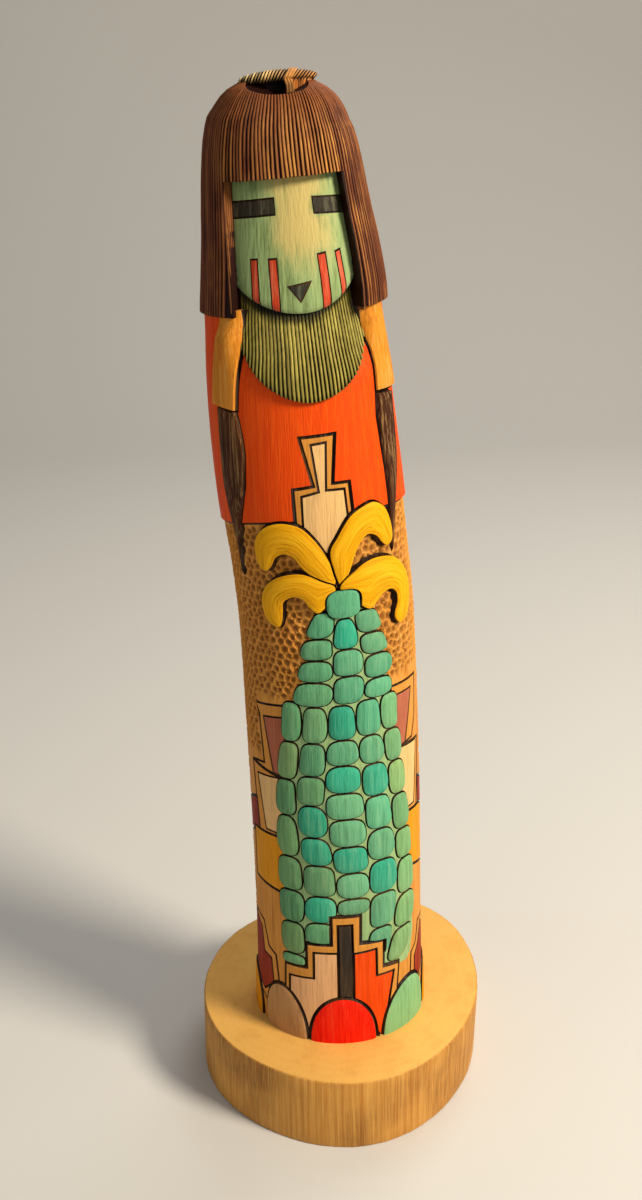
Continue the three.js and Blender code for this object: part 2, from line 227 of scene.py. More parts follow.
# how each kind of figure is cut: line and lineIn are the width of the burned line outside and inside its outline,
# level is how high its middle stands and wall how wide the step up to it is, dome and reach are how far its
# rounding rises and goes in, and taper is where its tip thins out
plainCut = {"line": 0.5, "lineIn": 0.3, "depth": 0.5, "level": 0.0, "wall": 0.35, "dome": 0.0, "reach": 2.0,
            "taper": None}
cuts = {
    "cape": {"line": 0.35, "lineIn": 0.5, "depth": 0.35, "level": 0.4, "wall": 0.5},
    "shadow": {"line": 0, "lineIn": 0, "depth": 0, "level": 0.4, "wall": 0.01},
    "block": {"depth": 0.45},
    "gap": {"line": 0, "lineIn": 0, "depth": 0, "level": -0.12, "wall": 0.1},
    "kernel": {"line": 0.33, "lineIn": 0.16, "depth": 0.6, "dome": 1.05, "reach": 3.4},
    "tabletRim": {"line": 0.65, "lineIn": 0.45},
    "tablet": {"depth": 0.4},
    "stepRim": {"line": 0.65, "lineIn": 0.65, "level": 0.5},
    "step": {"line": 0.55, "lineIn": 0.4, "level": 0.4},
    "disc": {"line": 0.48, "lineIn": 0.8, "depth": 0.6, "dome": 0.9, "reach": 3.5},
    "leaf": {"line": 0.42, "lineIn": 0.22, "depth": 0.4, "level": 1.1, "wall": 0.3, "dome": 0.9, "reach": 4.0},
    "arm": {"line": 0.4, "lineIn": 0.2, "depth": 0.3, "dome": 0.7, "reach": 5},
    "lock": {"line": 0.3, "lineIn": 0.16, "depth": 0.25, "level": 1.3, "wall": 0.3, "dome": 0.7, "reach": 4,
             "taper": (203.0, 232.0)},
    "face": {"line": 0.32, "lineIn": 0.22, "depth": 0.28},
}


class Shape:
    # one carved and painted figure: its outline, its paint, its material and its cut
    def __init__(self, loop, fill, slot, kind, **changes):
        self.loop, self.fill, self.slot, self.kind = loop, fill, slot, kind
        vars(self).update({**plainCut, **cuts[kind], **changes})
        self.low, self.high = loop.min(0) - 3, loop.max(0) + 3

    def near(self, points):
        return np.where(((points > self.low) & (points < self.high)).all(1))[0]

    def loops(self):
        # its outline, both edges of the burned line, and one line each for the rounding and the step
        more = [(self.line > 0, self.line, 1), (self.lineIn > 0, -self.lineIn, 1),
                (self.dome > 0, -self.lineIn - 0.35 * self.reach, 2), (self.level > 0.6, -self.wall, 1)]
        return [self.loop] + [grow(self.loop, by)[::skip] for wanted, by, skip in more if wanted]

    def carve(self, points, heights):
        at = self.near(points)
        d, h, line = inside(points[at], self.loop), heights[at], max(self.line, 0.01)
        top = self.level * ease(0, self.wall, d)
        top = top + self.dome * np.sqrt(np.clip(1 - (1 - np.clip(d / self.reach, 0, 1)) ** 2, 0, 1))
        if self.taper:
            top = top * (0.2 + 0.8 * ease(*self.taper, points[at][:, 1]))
        top = top - self.depth * np.clip(1 - d / max(self.lineIn, 0.05), 0, 1)
        burned = h * np.clip(-d / line, 0, 1) - self.depth * np.clip(1 + d / line, 0, 1)
        heights[at] = np.where(d >= -1e-6, top, np.where(d > -self.line, np.minimum(h, burned), h))


def hexPoints(low, high, step, rng, jitter=0.15):
    # scattered points in even rows
    pitch = step * 0.866
    made = [pairs(np.arange(low[0] + (0.25 if j % 2 else 0.75) * step, high[0], step), low[1] + (j + 0.5) * pitch)
            for j in range(int((high[1] - low[1]) / pitch) + 1)]
    pts = np.vstack(made)
    return pts + rng.uniform(-jitter, jitter, pts.shape) * step


def netOver(points, edges):
    out = delaunay_2d_cdt([Vector(p) for p in points], edges, [], 0, 1e-4)
    return np.array([tuple(p) for p in out[0]]), np.array([tuple(f) for f in out[2]])


def sheetMesh(border, shapes, extra, cell=0.55):
    # triangles over the flat sheet, with an edge along every outline
    verts, edges = [], []
    for loop in [border] + [loop for shape in shapes for loop in shape.loops()]:
        start = len(verts)
        verts.extend(loop)
        edges.extend((start + k, start + (k + 1) % len(loop)) for k in range(len(loop)))
    # a free point keeps a little way off the lines, so that no sliver comes of it
    taken = set(map(tuple, np.floor(np.array(verts) / cell).astype(int)))
    verts.extend(p for p, k in zip(extra, np.floor(extra / cell).astype(int)) if tuple(k) not in taken)
    return netOver(verts, edges)


print("stage: helpers ready")

colours = {
    "tan": (0.80, 0.54, 0.22), "ochre": (0.70, 0.40, 0.12), "burn": (0.12, 0.06, 0.035),
    "cape": (0.87, 0.27, 0.0), "leaf": (0.88, 0.62, 0.0), "mint": (0.38, 0.65, 0.49),
    "sage": (0.41, 0.56, 0.36), "vivid": (0.12, 0.62, 0.51), "lime": (0.56, 0.63, 0.36),
    "gap": (0.56, 0.68, 0.46), "cream": (0.87, 0.70, 0.46), "slate": (0.19, 0.16, 0.13),
    "orange": (0.89, 0.27, 0.0), "red": (0.93, 0.08, 0.0), "taupe": (0.72, 0.54, 0.35),
    "pink": (0.66, 0.37, 0.27), "yellow": (0.84, 0.55, 0.0), "brick": (0.55, 0.13, 0.04), "arm": (0.80, 0.50, 0.13),
    "lock": (0.25, 0.12, 0.05), "dusk": (0.88, 0.67, 0.47), "leaden": (0.50, 0.70, 0.48),
}

hem = {"front": 218.5, "drop": 3.0, "thick": 0.8}
seam = 86.1                                   # where the sheet closes at the back

ear = {
    "groove": 0.5, "seed": 5, "topLevel": 0.9,
    # the kernels stand in three tiers: edges are a height and then the sides of its columns,
    # joints the heights between the kernels of each column
    "tiers": [
        {"edges": [(57, -22, -12.4, -2.5, 9.6, 16.4, 25.5), (71, -22.3, -12.4, -1.7, 10.3, 20.0, 32),
                   (90, -22.8, -12.2, -0.6, 10.9, 22.3, 32), (125, -22, -13.5, -3.4, 9.5, 19.6, 28),
                   (152, -17.8, -9.8, -1.4, 8, 16.8, 24.6)],
         "joints": [(58, 63, 76, 88.8, 102, 117.7, 131.3, 145.2, 159.5),
                    (68.5, 77.4, 88, 100, 110.6, 122.6, 133.4, 145.3, 158),
                    (80.4, 87, 97, 107.1, 117.5, 127.2, 137.2, 146.3, 158.4),
                    (62, 73.6, 87, 100, 112, 124.5, 136.4, 146.7, 159.2),
                    (57.5, 70, 83, 97, 108.6, 122.3, 135, 146.8, 159.6)]},
        {"edges": [(160, -13.2, 0.7, 11, 22.4), (171, -10.2, 1.2, 11.7, 22.9), (179, -8.6, 1.7, 10.4, 20.6),
                   (188, -4.6, 3.2, 9, 18)],
         "joints": [(158, 166.4, 173.8, 181, 189.8), (158.6, 168, 177, 187), (159, 165.8, 173.8, 181, 188.6)]},
        {"edges": [(186, 0.4, 12.2), (197, 0.6, 12)], "joints": [(187.0, 196.6)]},
    ],
    # tier, column and place of the brightest kernels
    "vivid": [(0, 2, 7), (0, 2, 5), (0, 1, 3), (0, 1, 4), (0, 3, 2), (0, 2, 2), (0, 3, 5), (1, 1, 2), (0, 1, 1)],
}


def figure(points, fill, slot, kind, step=2.0, **changes):
    # a shape with straight sides, cut to short steps
    return Shape(straightLoop(points, step), colours[fill], slot, kind, **changes)


def mixColour(a, b, t):
    return tuple(np.array(a) * (1 - t) + np.array(b) * t)


def earShapes():
    rng = random.Random(ear["seed"])
    made = []
    for tier, part in enumerate(ear["tiers"]):
        edgeLine = through(part["edges"])
        for column, ends in enumerate(part["joints"]):
            for i, (low, high) in enumerate(zip(ends, ends[1:])):
                middle = (low + high) / 2
                power, skew = rng.uniform(2.7, 3.8), rng.uniform(-0.5, 0.5)
                left, right = edgeLine(middle)[column:column + 2]
                fill = mixColour(colours["sage"], colours["mint"], float(ease(-17, 6, (left + right) / 2)) * 0.9)
                count = int(round((right - left + high - low) * 1.75))
                turn = 2 * math.pi * np.arange(count) / count
                c, s = np.cos(turn), np.sin(turn)
                square = 1 / (np.abs(c) ** power + np.abs(s) ** power) ** (1 / power)     # rounded off square
                height = middle + s * square * (high - low - ear["groove"]) / 2
                left, right = edgeLine(height)[:, column:column + 2].T
                bulge = 0.12 * np.sin(2 * turn + 5 * skew) + 0.1 * np.sin(3 * turn + 9 * skew)
                half = (right - left - ear["groove"]) / 2 + bulge
                loop = pairs((left + right) / 2 + c * square * half, height + skew * 0.5 * c * c * np.sign(c))
                if tier == 0 and column == 4:
                    fill = mixColour(colours["mint"], colours["lime"], 0.45 + 0.4 * rng.random() * (middle < 140))
                if (tier, column, i) in ear["vivid"]:
                    fill = mixColour(fill, colours["vivid"], 0.75)
                fill = mixColour(fill, colours["vivid"], 0.22 * rng.random())
                fill = tuple(np.array(fill) * rng.uniform(0.93, 1.05))
                made.append(Shape(loop, fill, "kernel", "kernel", level=ear["topLevel"] * (tier == 2)))
    return made


def earGround():
    # the pale patch that shows between the kernels
    low, high = ear["tiers"][0]["edges"], ear["tiers"][1]["edges"][:-1]
    right = [(x[-1] - 2.2, x[0]) for x in low[2:]] + [(x[-1] - 2.4, x[0]) for x in high]
    left = [(x[1] + 2.2, x[0]) for x in low + high]
    loop = [(27, 55), (29.5, 57), (31.6, 66)] + right + [(15.5, 187), (8, 192), (4, 192), (-2, 187)]
    return figure(loop + left[::-1] + [(-18, 58)], "gap", "kernel", "gap", 3.0)


leaves = {
    # each leaf: outer edge from its root to its tip, then back along the inner edge
    "outlines": [
        [(5, 200), (3.1, 207), (0, 213), (-3.8, 217.3), (-9.2, 218.9), (-14.6, 218), (-18.5, 215), (-20, 210.8),
         (-19.6, 206), (-17.3, 203.6), (-14.8, 205.2), (-13, 208), (-10, 209.2), (-7.3, 208), (-4.9, 204.2),
         (-1, 200.4), (2, 196.4)],
        [(6, 197), (3.8, 207.6), (6.9, 213), (11.5, 218.3), (16.2, 220.4), (20.4, 220.8), (24, 218.5),
         (26, 214.6), (26.8, 210), (26.2, 207), (23.6, 205.8), (21.2, 207.7), (19.6, 210), (16.5, 211.2),
         (13.8, 209.2), (11.5, 205.8), (9.2, 201.2)],
        [(4.5, 197), (0, 200.4), (-4.6, 202.7), (-9.2, 203), (-14.6, 201.5), (-18.5, 198.5), (-20.4, 194.6),
         (-20.4, 190), (-18.8, 186.6), (-15.4, 185), (-13.8, 187), (-13, 190.8), (-12.3, 193.8), (-9.2, 195.4),
         (-6.2, 194.6), (-4.2, 191.5), (-1, 190)],
        [(5.5, 197), (11.5, 202), (16.2, 203.7), (21, 203.6), (26.2, 202), (30, 198.7), (32.7, 194.6),
         (33.5, 190), (32.5, 185.2), (30.4, 182), (26.9, 180.8), (24.2, 182.7), (24.2, 185), (25.8, 187.7),
         (25.6, 190.6), (23, 192.3), (19.2, 191.5), (15.4, 188.5), (12, 190)],
    ],
    "tips": [9, 10, 9, 10],     # which point of its outline is each leaf's tip
}

steps = {
    "outer": [(-3, 80.3), (7.4, 80.3), (7.2, 69), (16, 68.2), (15.8, 57.4), (22.7, 56.5), (21.5, 44), (18, 27),
              (-18, 27), (-21, 46), (-20.7, 58.3), (-12, 58.7), (-12, 68.7), (-3, 69)],
    "cream": [(-9.2, 65.2), (-0.9, 65.5), (-0.9, 44), (-17, 27), (-18.9, 46), (-18.7, 53.7), (-9.3, 54.5)],
    "orange": [(4.7, 65), (12.8, 65.4), (12.9, 54.3), (19.9, 54), (18, 44), (15, 27), (4.6, 44)],
    "bar": [(-0.6, 76.7), (4.2, 76.7), (4.4, 44), (-0.6, 44)],
}

discs = [
    # middle, half width, height, colour, lean
    (0.7, 12.2, 19.2, "red", 0), (27, 12.4, 20, "leaden", 3.0), (51, 11.3, 18.5, "yellow", 0),
    (74.5, 10.8, 19, "taupe", 0), (-93, 8.8, 18, "red", 0), (-70, 11.3, 18.5, "leaden", 0),
    (-46, 11.3, 18, "yellow", 0), (-22, 10.4, 20.2, "taupe", -2.2),
]


def discShape(middle, half, height, fill, lean):
    turn, floor = math.pi * np.arange(33) / 32, root["floor"]
    up = np.sin(turn) ** 0.9
    arch = pairs(middle + half * np.cos(turn) + lean * up * 0.35, floor + height * up)
    loop = np.vstack([(middle + half, floor - 3), arch, (middle - half, floor - 3)])
    return Shape(loop, colours[fill], "paint", "disc")


sides = {
    # blocks beside the ear: outline, colour and width of the burned line; those at the back stand there twice
    "left": [
        ([(-30, 155.4), (-17, 157.2), (-17, 131), (-34.5, 133.4), (-27, 134.4), (-28.2, 152)], "tan", 0.55),
        ([(-26, 151.6), (-17, 153), (-17, 131.5), (-22.6, 132.2)], "pink", 0.45),
        ([(-35, 132.8), (-17, 130.5), (-17, 107), (-33, 105)], "tan", 0.6),
        ([(-31.8, 129), (-17, 131), (-17, 109.6), (-28.2, 109)], "cream", 0.45),
        ([(-52, 112), (-34, 119), (-33, 107), (-52, 99)], "brick", 0.8),
        ([(-37.5, 106.4), (-17, 108.4), (-17, 86.2), (-38, 86.8)], "yellow", 0.7),
        ([(-40, 71), (-33, 69.6), (-30, 60.5), (-25.8, 58.5), (-24.4, 47), (-27, 34), (-40, 40)], "tan", 0.6),
        ([(-42, 70), (-35, 66), (-33.6, 56.4), (-28.6, 56), (-27.4, 46), (-34, 40), (-44, 44)], "brick", 0.5),
    ],
    "right": [
        ([(22, 160.8), (37.4, 160.3), (36, 146), (33, 139.5), (22, 139)], "tan", 0.55),
        ([(22, 157.4), (33.4, 157), (28.4, 139.4), (22, 138)], "pink", 0.45),
        ([(22, 139.2), (38.4, 137.2), (36, 113), (26, 112.6)], "tan", 0.6),
        ([(24, 138.4), (36.6, 137), (33.6, 114.8), (24, 115)], "cream", 0.4),
        ([(38, 122.5), (54, 116), (54, 104), (38, 110.5)], "brick", 0.7),
        ([(27, 113.4), (39, 112), (51, 106.5), (50, 86), (31, 91.8), (27, 92)], "yellow", 0.7),
        ([(36.5, 66), (34, 58), (30.4, 56), (29.6, 46), (36, 40), (44, 44), (44, 66)], "tan", 0.6),
        ([(40, 64), (36.6, 57), (33, 53), (32.7, 46), (36, 42), (44, 46), (44, 62)], "brick", 0.5),
    ],
    "back": [
        ([(58, 157), (78, 157), (74, 134), (62, 134)], "pink", 0.6),
        ([(56, 130), (80, 130), (77, 108), (59, 108)], "cream", 0.6),
        ([(57, 104), (79, 104), (79, 86), (57, 86)], "yellow", 0.7),
    ],
    "shifts": (0, -144),
}

tablet = {
    "outer": [(-0.8, 243), (10.2, 243), (7.7, 228.7), (13.1, 228.3), (13.1, 212), (-5.4, 212), (-4.6, 228.2),
              (1.9, 228.6)],
    "inner": [(2.5, 240.6), (7.1, 240.8), (5.4, 226.9), (11.3, 226.4), (11.3, 208), (-3.6, 208), (-2.2, 225.9),
              (3.3, 226.7)],
}

arms = {
    "level": {"left": 1.9, "right": 0.9},
    "left": [(-19.6, 281), (-18.8, 274), (-18.7, 268), (-19.6, 260), (-20.8, 251.0), (-31.6, 252.2),
             (-29.6, 264), (-27.2, 275), (-26, 281)],
    "right": [(29.0, 281), (27.4, 275.4), (27.2, 269.6), (28.2, 265), (28.6, 260), (28.0, 252.2), (45.5, 250.8),
              (42.5, 264), (38, 281)],
}

locks = {
    "left": [(-21.3, 250.7), (-20.4, 247.5), (-19.6, 243), (-19.4, 238.5), (-20.8, 229.2), (-24.6, 218.5),
             (-27.6, 210.8), (-29.0, 203.8), (-29.6, 200.2), (-29.7, 204), (-29.0, 212.3), (-29.6, 220),
             (-30.2, 230), (-29.9, 241.5), (-29.6, 247), (-29.6, 251.8)],
    "right": [(37.2, 250.8), (36.4, 243), (35.2, 233.8), (32.9, 224.6), (30.6, 214.6), (28.8, 206),
              (27.8, 203.0), (26.9, 207), (27.3, 213), (27.7, 221.5), (27.7, 229), (27.2, 237), (26.8, 245),
              (27.8, 251.6)],
}
# a dark patch in the burned colour on the body behind the beard: painted shade that shows in the gaps round the
# beard
shadeBehindBeard = [(-27, 268.5), (-14, 268), (4, 261), (20, 267.5), (33, 268.5), (33, 290), (-27, 290)]


def hemAt(across):
    return hem["front"] - hem["drop"] * ease(10, 50, np.abs(across))


def allShapes():
    # in the order in which they are cut, each over what lies under it
    across = np.arange(-112, 97, 2.0)
    cape = np.vstack([pairs(across, hemAt(across)), [(97, 300), (-112, 300)]])
    # the dark patch behind the beard is painted shade
    made = [Shape(cape, colours["cape"], "cape", "cape"), figure(shadeBehindBeard, "burn", "burn", "shadow")]
    back = [(np.array(loop) + [shift, 0], fill, line) for shift in sides["shifts"] for loop, fill,
            line in sides["back"]]
    made += [figure(loop, fill, "paint", "block", line=line, lineIn=line * 0.6)
             for loop, fill, line in back + sides["left"] + sides["right"]]
    *kernels, topKernel = earShapes()
    made += [earGround(), *kernels]
    made += [figure(points, fill, "paint", kind, 1.5) for points, fill, kind in (
        (tablet["outer"], "tan", "tabletRim"), (tablet["inner"], "cream", "tablet"), (steps["outer"], "tan",
            "stepRim"),
        (steps["cream"], "dusk", "step"), (steps["orange"], "orange", "step"), (steps["bar"], "slate", "step"))]
    made += [discShape(*one) for one in discs]
    made += [Shape(smoothLoop(outline, 1.0), colours["leaf"], "leaf", "leaf", tip=outline[tip])
             for outline, tip in zip(leaves["outlines"], leaves["tips"])]
    made.append(topKernel)
    for side, level in arms["level"].items():
        made += [figure(arms[side], "arm", "arm", "arm", 1.3, level=level),
                 figure(locks[side], "lock", "lock", "lock", 1.3)]
    return made


print("stage: drawing ready")


class Wiring:
    # short ways to add nodes to one tree; an input is a value or the socket that feeds it
    def __init__(self, tree):
        self.tree = tree

    def put(self, socket, value):
        if isinstance(value, bpy.types.NodeSocket):
            self.tree.links.new(value, socket)
        else:
            socket.default_value = value

    def add(self, kind, settings=None, **inputs):
        # an input goes by its name, or by its number as i0, i1 and so on
        node = self.tree.nodes.new(kind)
        for key, value in (settings or {}).items():
            setattr(node, key, value)
        for key, value in inputs.items():
            self.put(node.inputs[int(key[1:]) if key[1:].isdigit() else key.replace("_", " ")], value)
        return node.outputs

    def times(self, a, b):
        return self.add("ShaderNodeMath", {"operation": "MULTIPLY"}, i0=a, i1=b)[0]

    def plus(self, a, b):
        return self.add("ShaderNodeMath", {"operation": "ADD"}, i0=a, i1=b)[0]

    def span(self, value, low, high, to=(0.0, 1.0)):
        return self.add("ShaderNodeMapRange", i0=value, i1=low, i2=high, i3=to[0], i4=to[1])[0]

    def blend(self, factor, a, b, how="MIX"):
        return self.add("ShaderNodeMix", {"data_type": "RGBA", "blend_type": how}, i0=factor, i6=a, i7=b)[2]

    def value(self, name, kind="Fac"):
        return self.add("ShaderNodeAttribute", {"attribute_name": name})[kind]

    def grain(self, where, fineness, stretch):
        return self.add("ShaderNodeGroup", {"node_tree": woodGrain}, Vector=where, Fineness=fineness,
                        Stretch=stretch)


def nodeGroup(name, inputs, outputs, kind="ShaderNodeTree"):
    # a group and its sockets, whose kinds follow from their names or their values
    group = bpy.data.node_groups.new(name, kind)
    named = {"Geometry": "Geometry", "Vector": "Vector", "Finish": "Material", "Colour": "Color"}
    valued = {float: "Float", int: "Int", tuple: "Color"}
    for label, value in inputs.items():
        socketType = "NodeSocket" + (named.get(label) or valued[type(value)])
        socket = group.interface.new_socket(label, in_out="INPUT", socket_type=socketType)
        if value is not None:
            socket.default_value = value
    for label in outputs:
        group.interface.new_socket(label, in_out="OUTPUT", socket_type="NodeSocket" + named.get(label, "Float"))
    given, made = group.nodes.new("NodeGroupInput").outputs, group.nodes.new("NodeGroupOutput").inputs
    return Wiring(group), given, made


def makeGrain():
    # long thin streaks of wood or brush along the height, with a broad change under them
    w, given, made = nodeGroup("woodGrain", {"Vector": None, "Fineness": 900.0, "Stretch": 0.045},
                               ("Streaks", "Fine", "Broad"))
    where, fineness = given["Vector"], given["Fineness"]
    scale = w.add("ShaderNodeCombineXYZ", i0=1.0, i1=1.0, i2=given["Stretch"])[0]
    flat = w.add("ShaderNodeVectorMath", {"operation": "MULTIPLY"}, i0=where, i1=scale)[0]
    for name, place, size, detail, rough in (("Streaks", flat, w.times(fineness, 0.3), 4.0, 0.62),
                                             ("Fine", flat, fineness, 3.0, 0.6), ("Broad", where, 38.0, 3.0,
                                                 0.5)):
        w.put(made[name], w.add("ShaderNodeTexNoise", Vector=place, Scale=size, Detail=detail,
                                Roughness=rough)[0])
    return w.tree


def makeAging():
    # thinly brushed paint: darker and lighter streaks, worn through in places, and darker where it lies low, partly
    # stain and partly painted shade
    w, g, made = nodeGroup("thinPaint", {
        "Colour": (0.8, 0.8, 0.8, 1), "Wood": (0.6, 0.36, 0.16, 1), "Stain": (0.03, 0.015, 0.01, 1),
        "Streaks": 0.5, "Fine": 0.5, "Broad": 0.5, "Rise": 1.0, "Variation": 0.35, "Wear": 0.3, "Pooling": 0.5,
        "Lift": 0.12, "Streak": (1, 0.93, 0.8, 1)}, ("Colour", "Roughness", "Height"))
    tone = w.plus(w.times(g["Streaks"], 0.6), w.times(g["Fine"], 0.4))
    dark = w.blend(1.0, g["Colour"], (0.42, 0.34, 0.3, 1), "MULTIPLY")
    light = w.blend(g["Lift"], g["Colour"], g["Streak"])
    colour = w.blend(w.times(w.span(tone, 0.5, 0.3), g["Variation"]), g["Colour"], dark)
    colour = w.blend(w.times(w.span(tone, 0.5, 0.7), g["Variation"]), colour, light)
    thin = w.span(w.plus(g["Broad"], w.times(g["Fine"], 0.35)), 0.62, 0.86)
    colour = w.blend(w.times(thin, g["Wear"]), colour, g["Wood"])
    # painted shade with the stain: where rise is low the colour goes towards the stain colour
    w.put(made["Colour"], w.blend(w.times(w.span(g["Rise"], 0.75, 0.05), g["Pooling"]), colour, g["Stain"]))
    w.put(made["Roughness"], w.span(tone, 0.3, 0.7, (0.62, 0.5)))
    w.put(made["Height"], w.plus(g["Fine"], w.times(g["Streaks"], 0.7)))
    return w.tree


woodGrain = makeGrain()
thinPaint = makeAging()


def newMaterial(name, vector=None):
    # its patterns read the vector of that name from the mesh, or else the object's own coordinates
    material = bpy.data.materials.new(name)
    material.use_nodes = True
    w = Wiring(material.node_tree)
    return material, w, w.value(vector, "Vector") if vector else w.add("ShaderNodeTexCoord")["Object"]


def finishMaterial(material, w, colour, roughness, sheen, height, bump, distance=0.0003):
    shader = material.node_tree.nodes["Principled BSDF"].inputs
    relief = w.add("ShaderNodeBump", Strength=bump, Distance=distance, Height=height)[0]
    for name, value in (("Base Color", colour), ("Roughness", roughness), ("Specular IOR Level", sheen),
                        ("Normal", relief)):
        w.put(shader[name], value)
    return material


def shade(colour):
    return (*linear(colour), 1)


def paintMaterial(name, colour=None, wood=colours["tan"], fineness=900.0, stretch=0.045, bump=0.25, vector=None,
                  stain=(0.03, 0.015, 0.01), streak=(1, 0.93, 0.8), thinned=None, **aging):
    # without a colour it takes the paint from the mesh; aging goes to the group's own inputs
    material, w, where = newMaterial(name, vector)
    grain = w.grain(where, fineness, stretch)
    broad = grain["Broad"]
    if thinned:
        bare = w.value(thinned)
        aging["Wear"] = w.times(bare, aging["Wear"])
        broad = w.plus(w.plus(w.times(grain["Streaks"], 0.5), 0.12), w.times(bare, 0.35))
    aged = w.add("ShaderNodeGroup", {"node_tree": thinPaint},
                 Colour=shade(colour) if colour else w.value("paint", "Color"), Wood=shade(wood), Stain=(*stain,
                     1), Streaks=grain["Streaks"], Fine=grain["Fine"], Broad=broad,
                 Rise=w.value("rise"), Streak=(*streak, 1), **aging)
    return finishMaterial(material, w, aged["Colour"], aged["Roughness"], 0.12, aged["Height"], bump, 0.0004)


finishes = {
    "paint": paintMaterial("blockPaint", fineness=2600.0, Variation=0.6, Wear=0.03, Pooling=0.35, bump=0.4,
                           streak=(0.95, 0.5, 0.2)),
    "burn": paintMaterial("burnedLine", colours["burn"], Variation=0.5, Wear=0.1, Pooling=0.6),
    "kernel": paintMaterial("kernelPaint", fineness=2400.0, Variation=0.7, Wear=0.04, Pooling=0.55, Lift=0.2,
                            bump=0.4, stain=(0.04, 0.045, 0.02), streak=(0.75, 0.85, 0.50)),
    "leaf": paintMaterial("huskPaint", fineness=2600.0, stretch=0.03, Variation=1.0, Wear=0.03, Lift=0.3,
                          bump=0.6, vector="blade", stain=(0.2, 0.07, 0.0), streak=(1.0, 0.76, 0.06)),
    "cape": paintMaterial("capePaint", fineness=2600.0, Variation=0.4, Wear=0.04, Pooling=0.2, Lift=0.25,
                          bump=0.5, stain=(0.1, 0.01, 0.0), streak=(0.97, 0.40, 0.02)),
    "arm": paintMaterial("bareArm", fineness=2200.0, Variation=0.8, Wear=0.15, Pooling=0.6, Lift=0.3, bump=0.4,
                         stain=(0.12, 0.05, 0.01), streak=(0.97, 0.68, 0.26)),
    "lock": paintMaterial("lockStain", wood=colours["ochre"], fineness=4200.0, stretch=0.018, Variation=1.0,
                          Wear=0.1, Lift=0.7, bump=0.9, streak=(0.56, 0.33, 0.12)),
    "ground": paintMaterial("gougedWood", wood=colours["ochre"], fineness=1500.0, Variation=0.7, Wear=0.2,
                            Pooling=0.9, Lift=0.25, bump=0.4, stain=(0.16, 0.055, 0.006),
                            streak=(0.97, 0.70, 0.28)),
}
slotOrder = list(finishes)

print("stage: materials ready")

gouges = {
    "pitch": 2.8, "depth": 1.0, "seed": 11, "least": 0.02,
    "from": (56.0, 136.0, 158.5, 163.0),            # where they start at the back, left, middle and right
}
shaftNet = {
    "top": 278.0, "upright": 2.0, "round": 96, "coarse": 2.6, "fine": 1.25,
    "fineFrom": np.array([-24.0, 58]), "fineTo": np.array([34.0, 222]),         # the ear and its leaves
}

tuck = {
    # how proud the arms stand under and below the hair
    "armLow": 0.9, "armFree": 2.2, "hair": (268, 275),
    # how far the body lies back behind the beard
    "deep": 5.3, "beard": (256, 277), "beardSide": (20, 27), "middle": 4,
}


def gougeZone(points):
    # how deep the ground is gouged, fading out at the painted patterns
    x, v = points.T
    back, left, middle, right = gouges["from"]
    low = np.where(np.abs(x) > 44, back, np.where(x < -30, left, np.where(x < 0, middle, right)))
    return ease(0, 2.5, v - low) * ease(0, 1.5, hemAt(x) - v)


def scoopNet(low, high, rng):
    # the scoops of the gouge: a low point in each, then the points of the ridges and slopes round them
    pitch = gouges["pitch"]
    seeds = hexPoints(low, high, pitch, rng, 0.28)
    seeds = seeds[gougeZone(seeds) > gouges["least"]]
    wrapped = np.vstack([seeds, seeds + [around, 0], seeds - [around, 0]])
    wrapped = wrapped[(wrapped[:, 0] > low[0] - 4) & (wrapped[:, 0] < high[0] + 4)]
    corners, faces = netOver(wrapped, [])
    edges = np.unique(np.sort(np.vstack([faces[:, [0, 1]], faces[:, [1, 2]], faces[:, [2, 0]]]), axis=1), axis=0)
    edges = edges[np.linalg.norm(corners[edges[:, 0]] - corners[edges[:, 1]], axis=1) < 2.2 * pitch]
    middles = corners[faces].mean(1)
    slopes = []
    for k in range(3):
        part = 0.5 * (middles + corners[faces[:, k]])
        slopes.append(part[np.linalg.norm(part - corners[faces[:, k]], axis=1) < pitch])
    free = np.vstack([seeds, middles, corners[edges].mean(1), *slopes])
    return wrapped, free[gougeZone(free) > gouges["least"]]


def nearestTwo(points, seeds):
    # the distances to the two nearest seeds
    found = np.full((len(points), 2), 9.0)
    for start in range(0, len(points), 3000):
        block = points[start:start + 3000]
        reach = seeds[(seeds[:, 1] > block[:, 1].min() - 5) & (seeds[:, 1] < block[:, 1].max() + 5)]
        if len(reach) > 1:
            apart = np.linalg.norm(block[:, None] - reach[None], axis=2)
            apart.partition(1, axis=1)
            found[start:start + 3000] = apart[:, :2]
    return found.T


def bladeLines(points, shape):
    # how far across and along a leaf each point lies, measured between its outer and inner edges
    tip = np.linalg.norm(shape.loop - shape.tip, axis=1).argmin()
    outer, along = nearLine(points, shape.loop[:tip + 1])
    inner, _ = nearLine(points, np.vstack([shape.loop[tip:], shape.loop[:1]]))
    return np.stack([8.0 * outer / np.maximum(outer + inner, 1e-6), np.zeros(len(along)), along], 1) / 1000


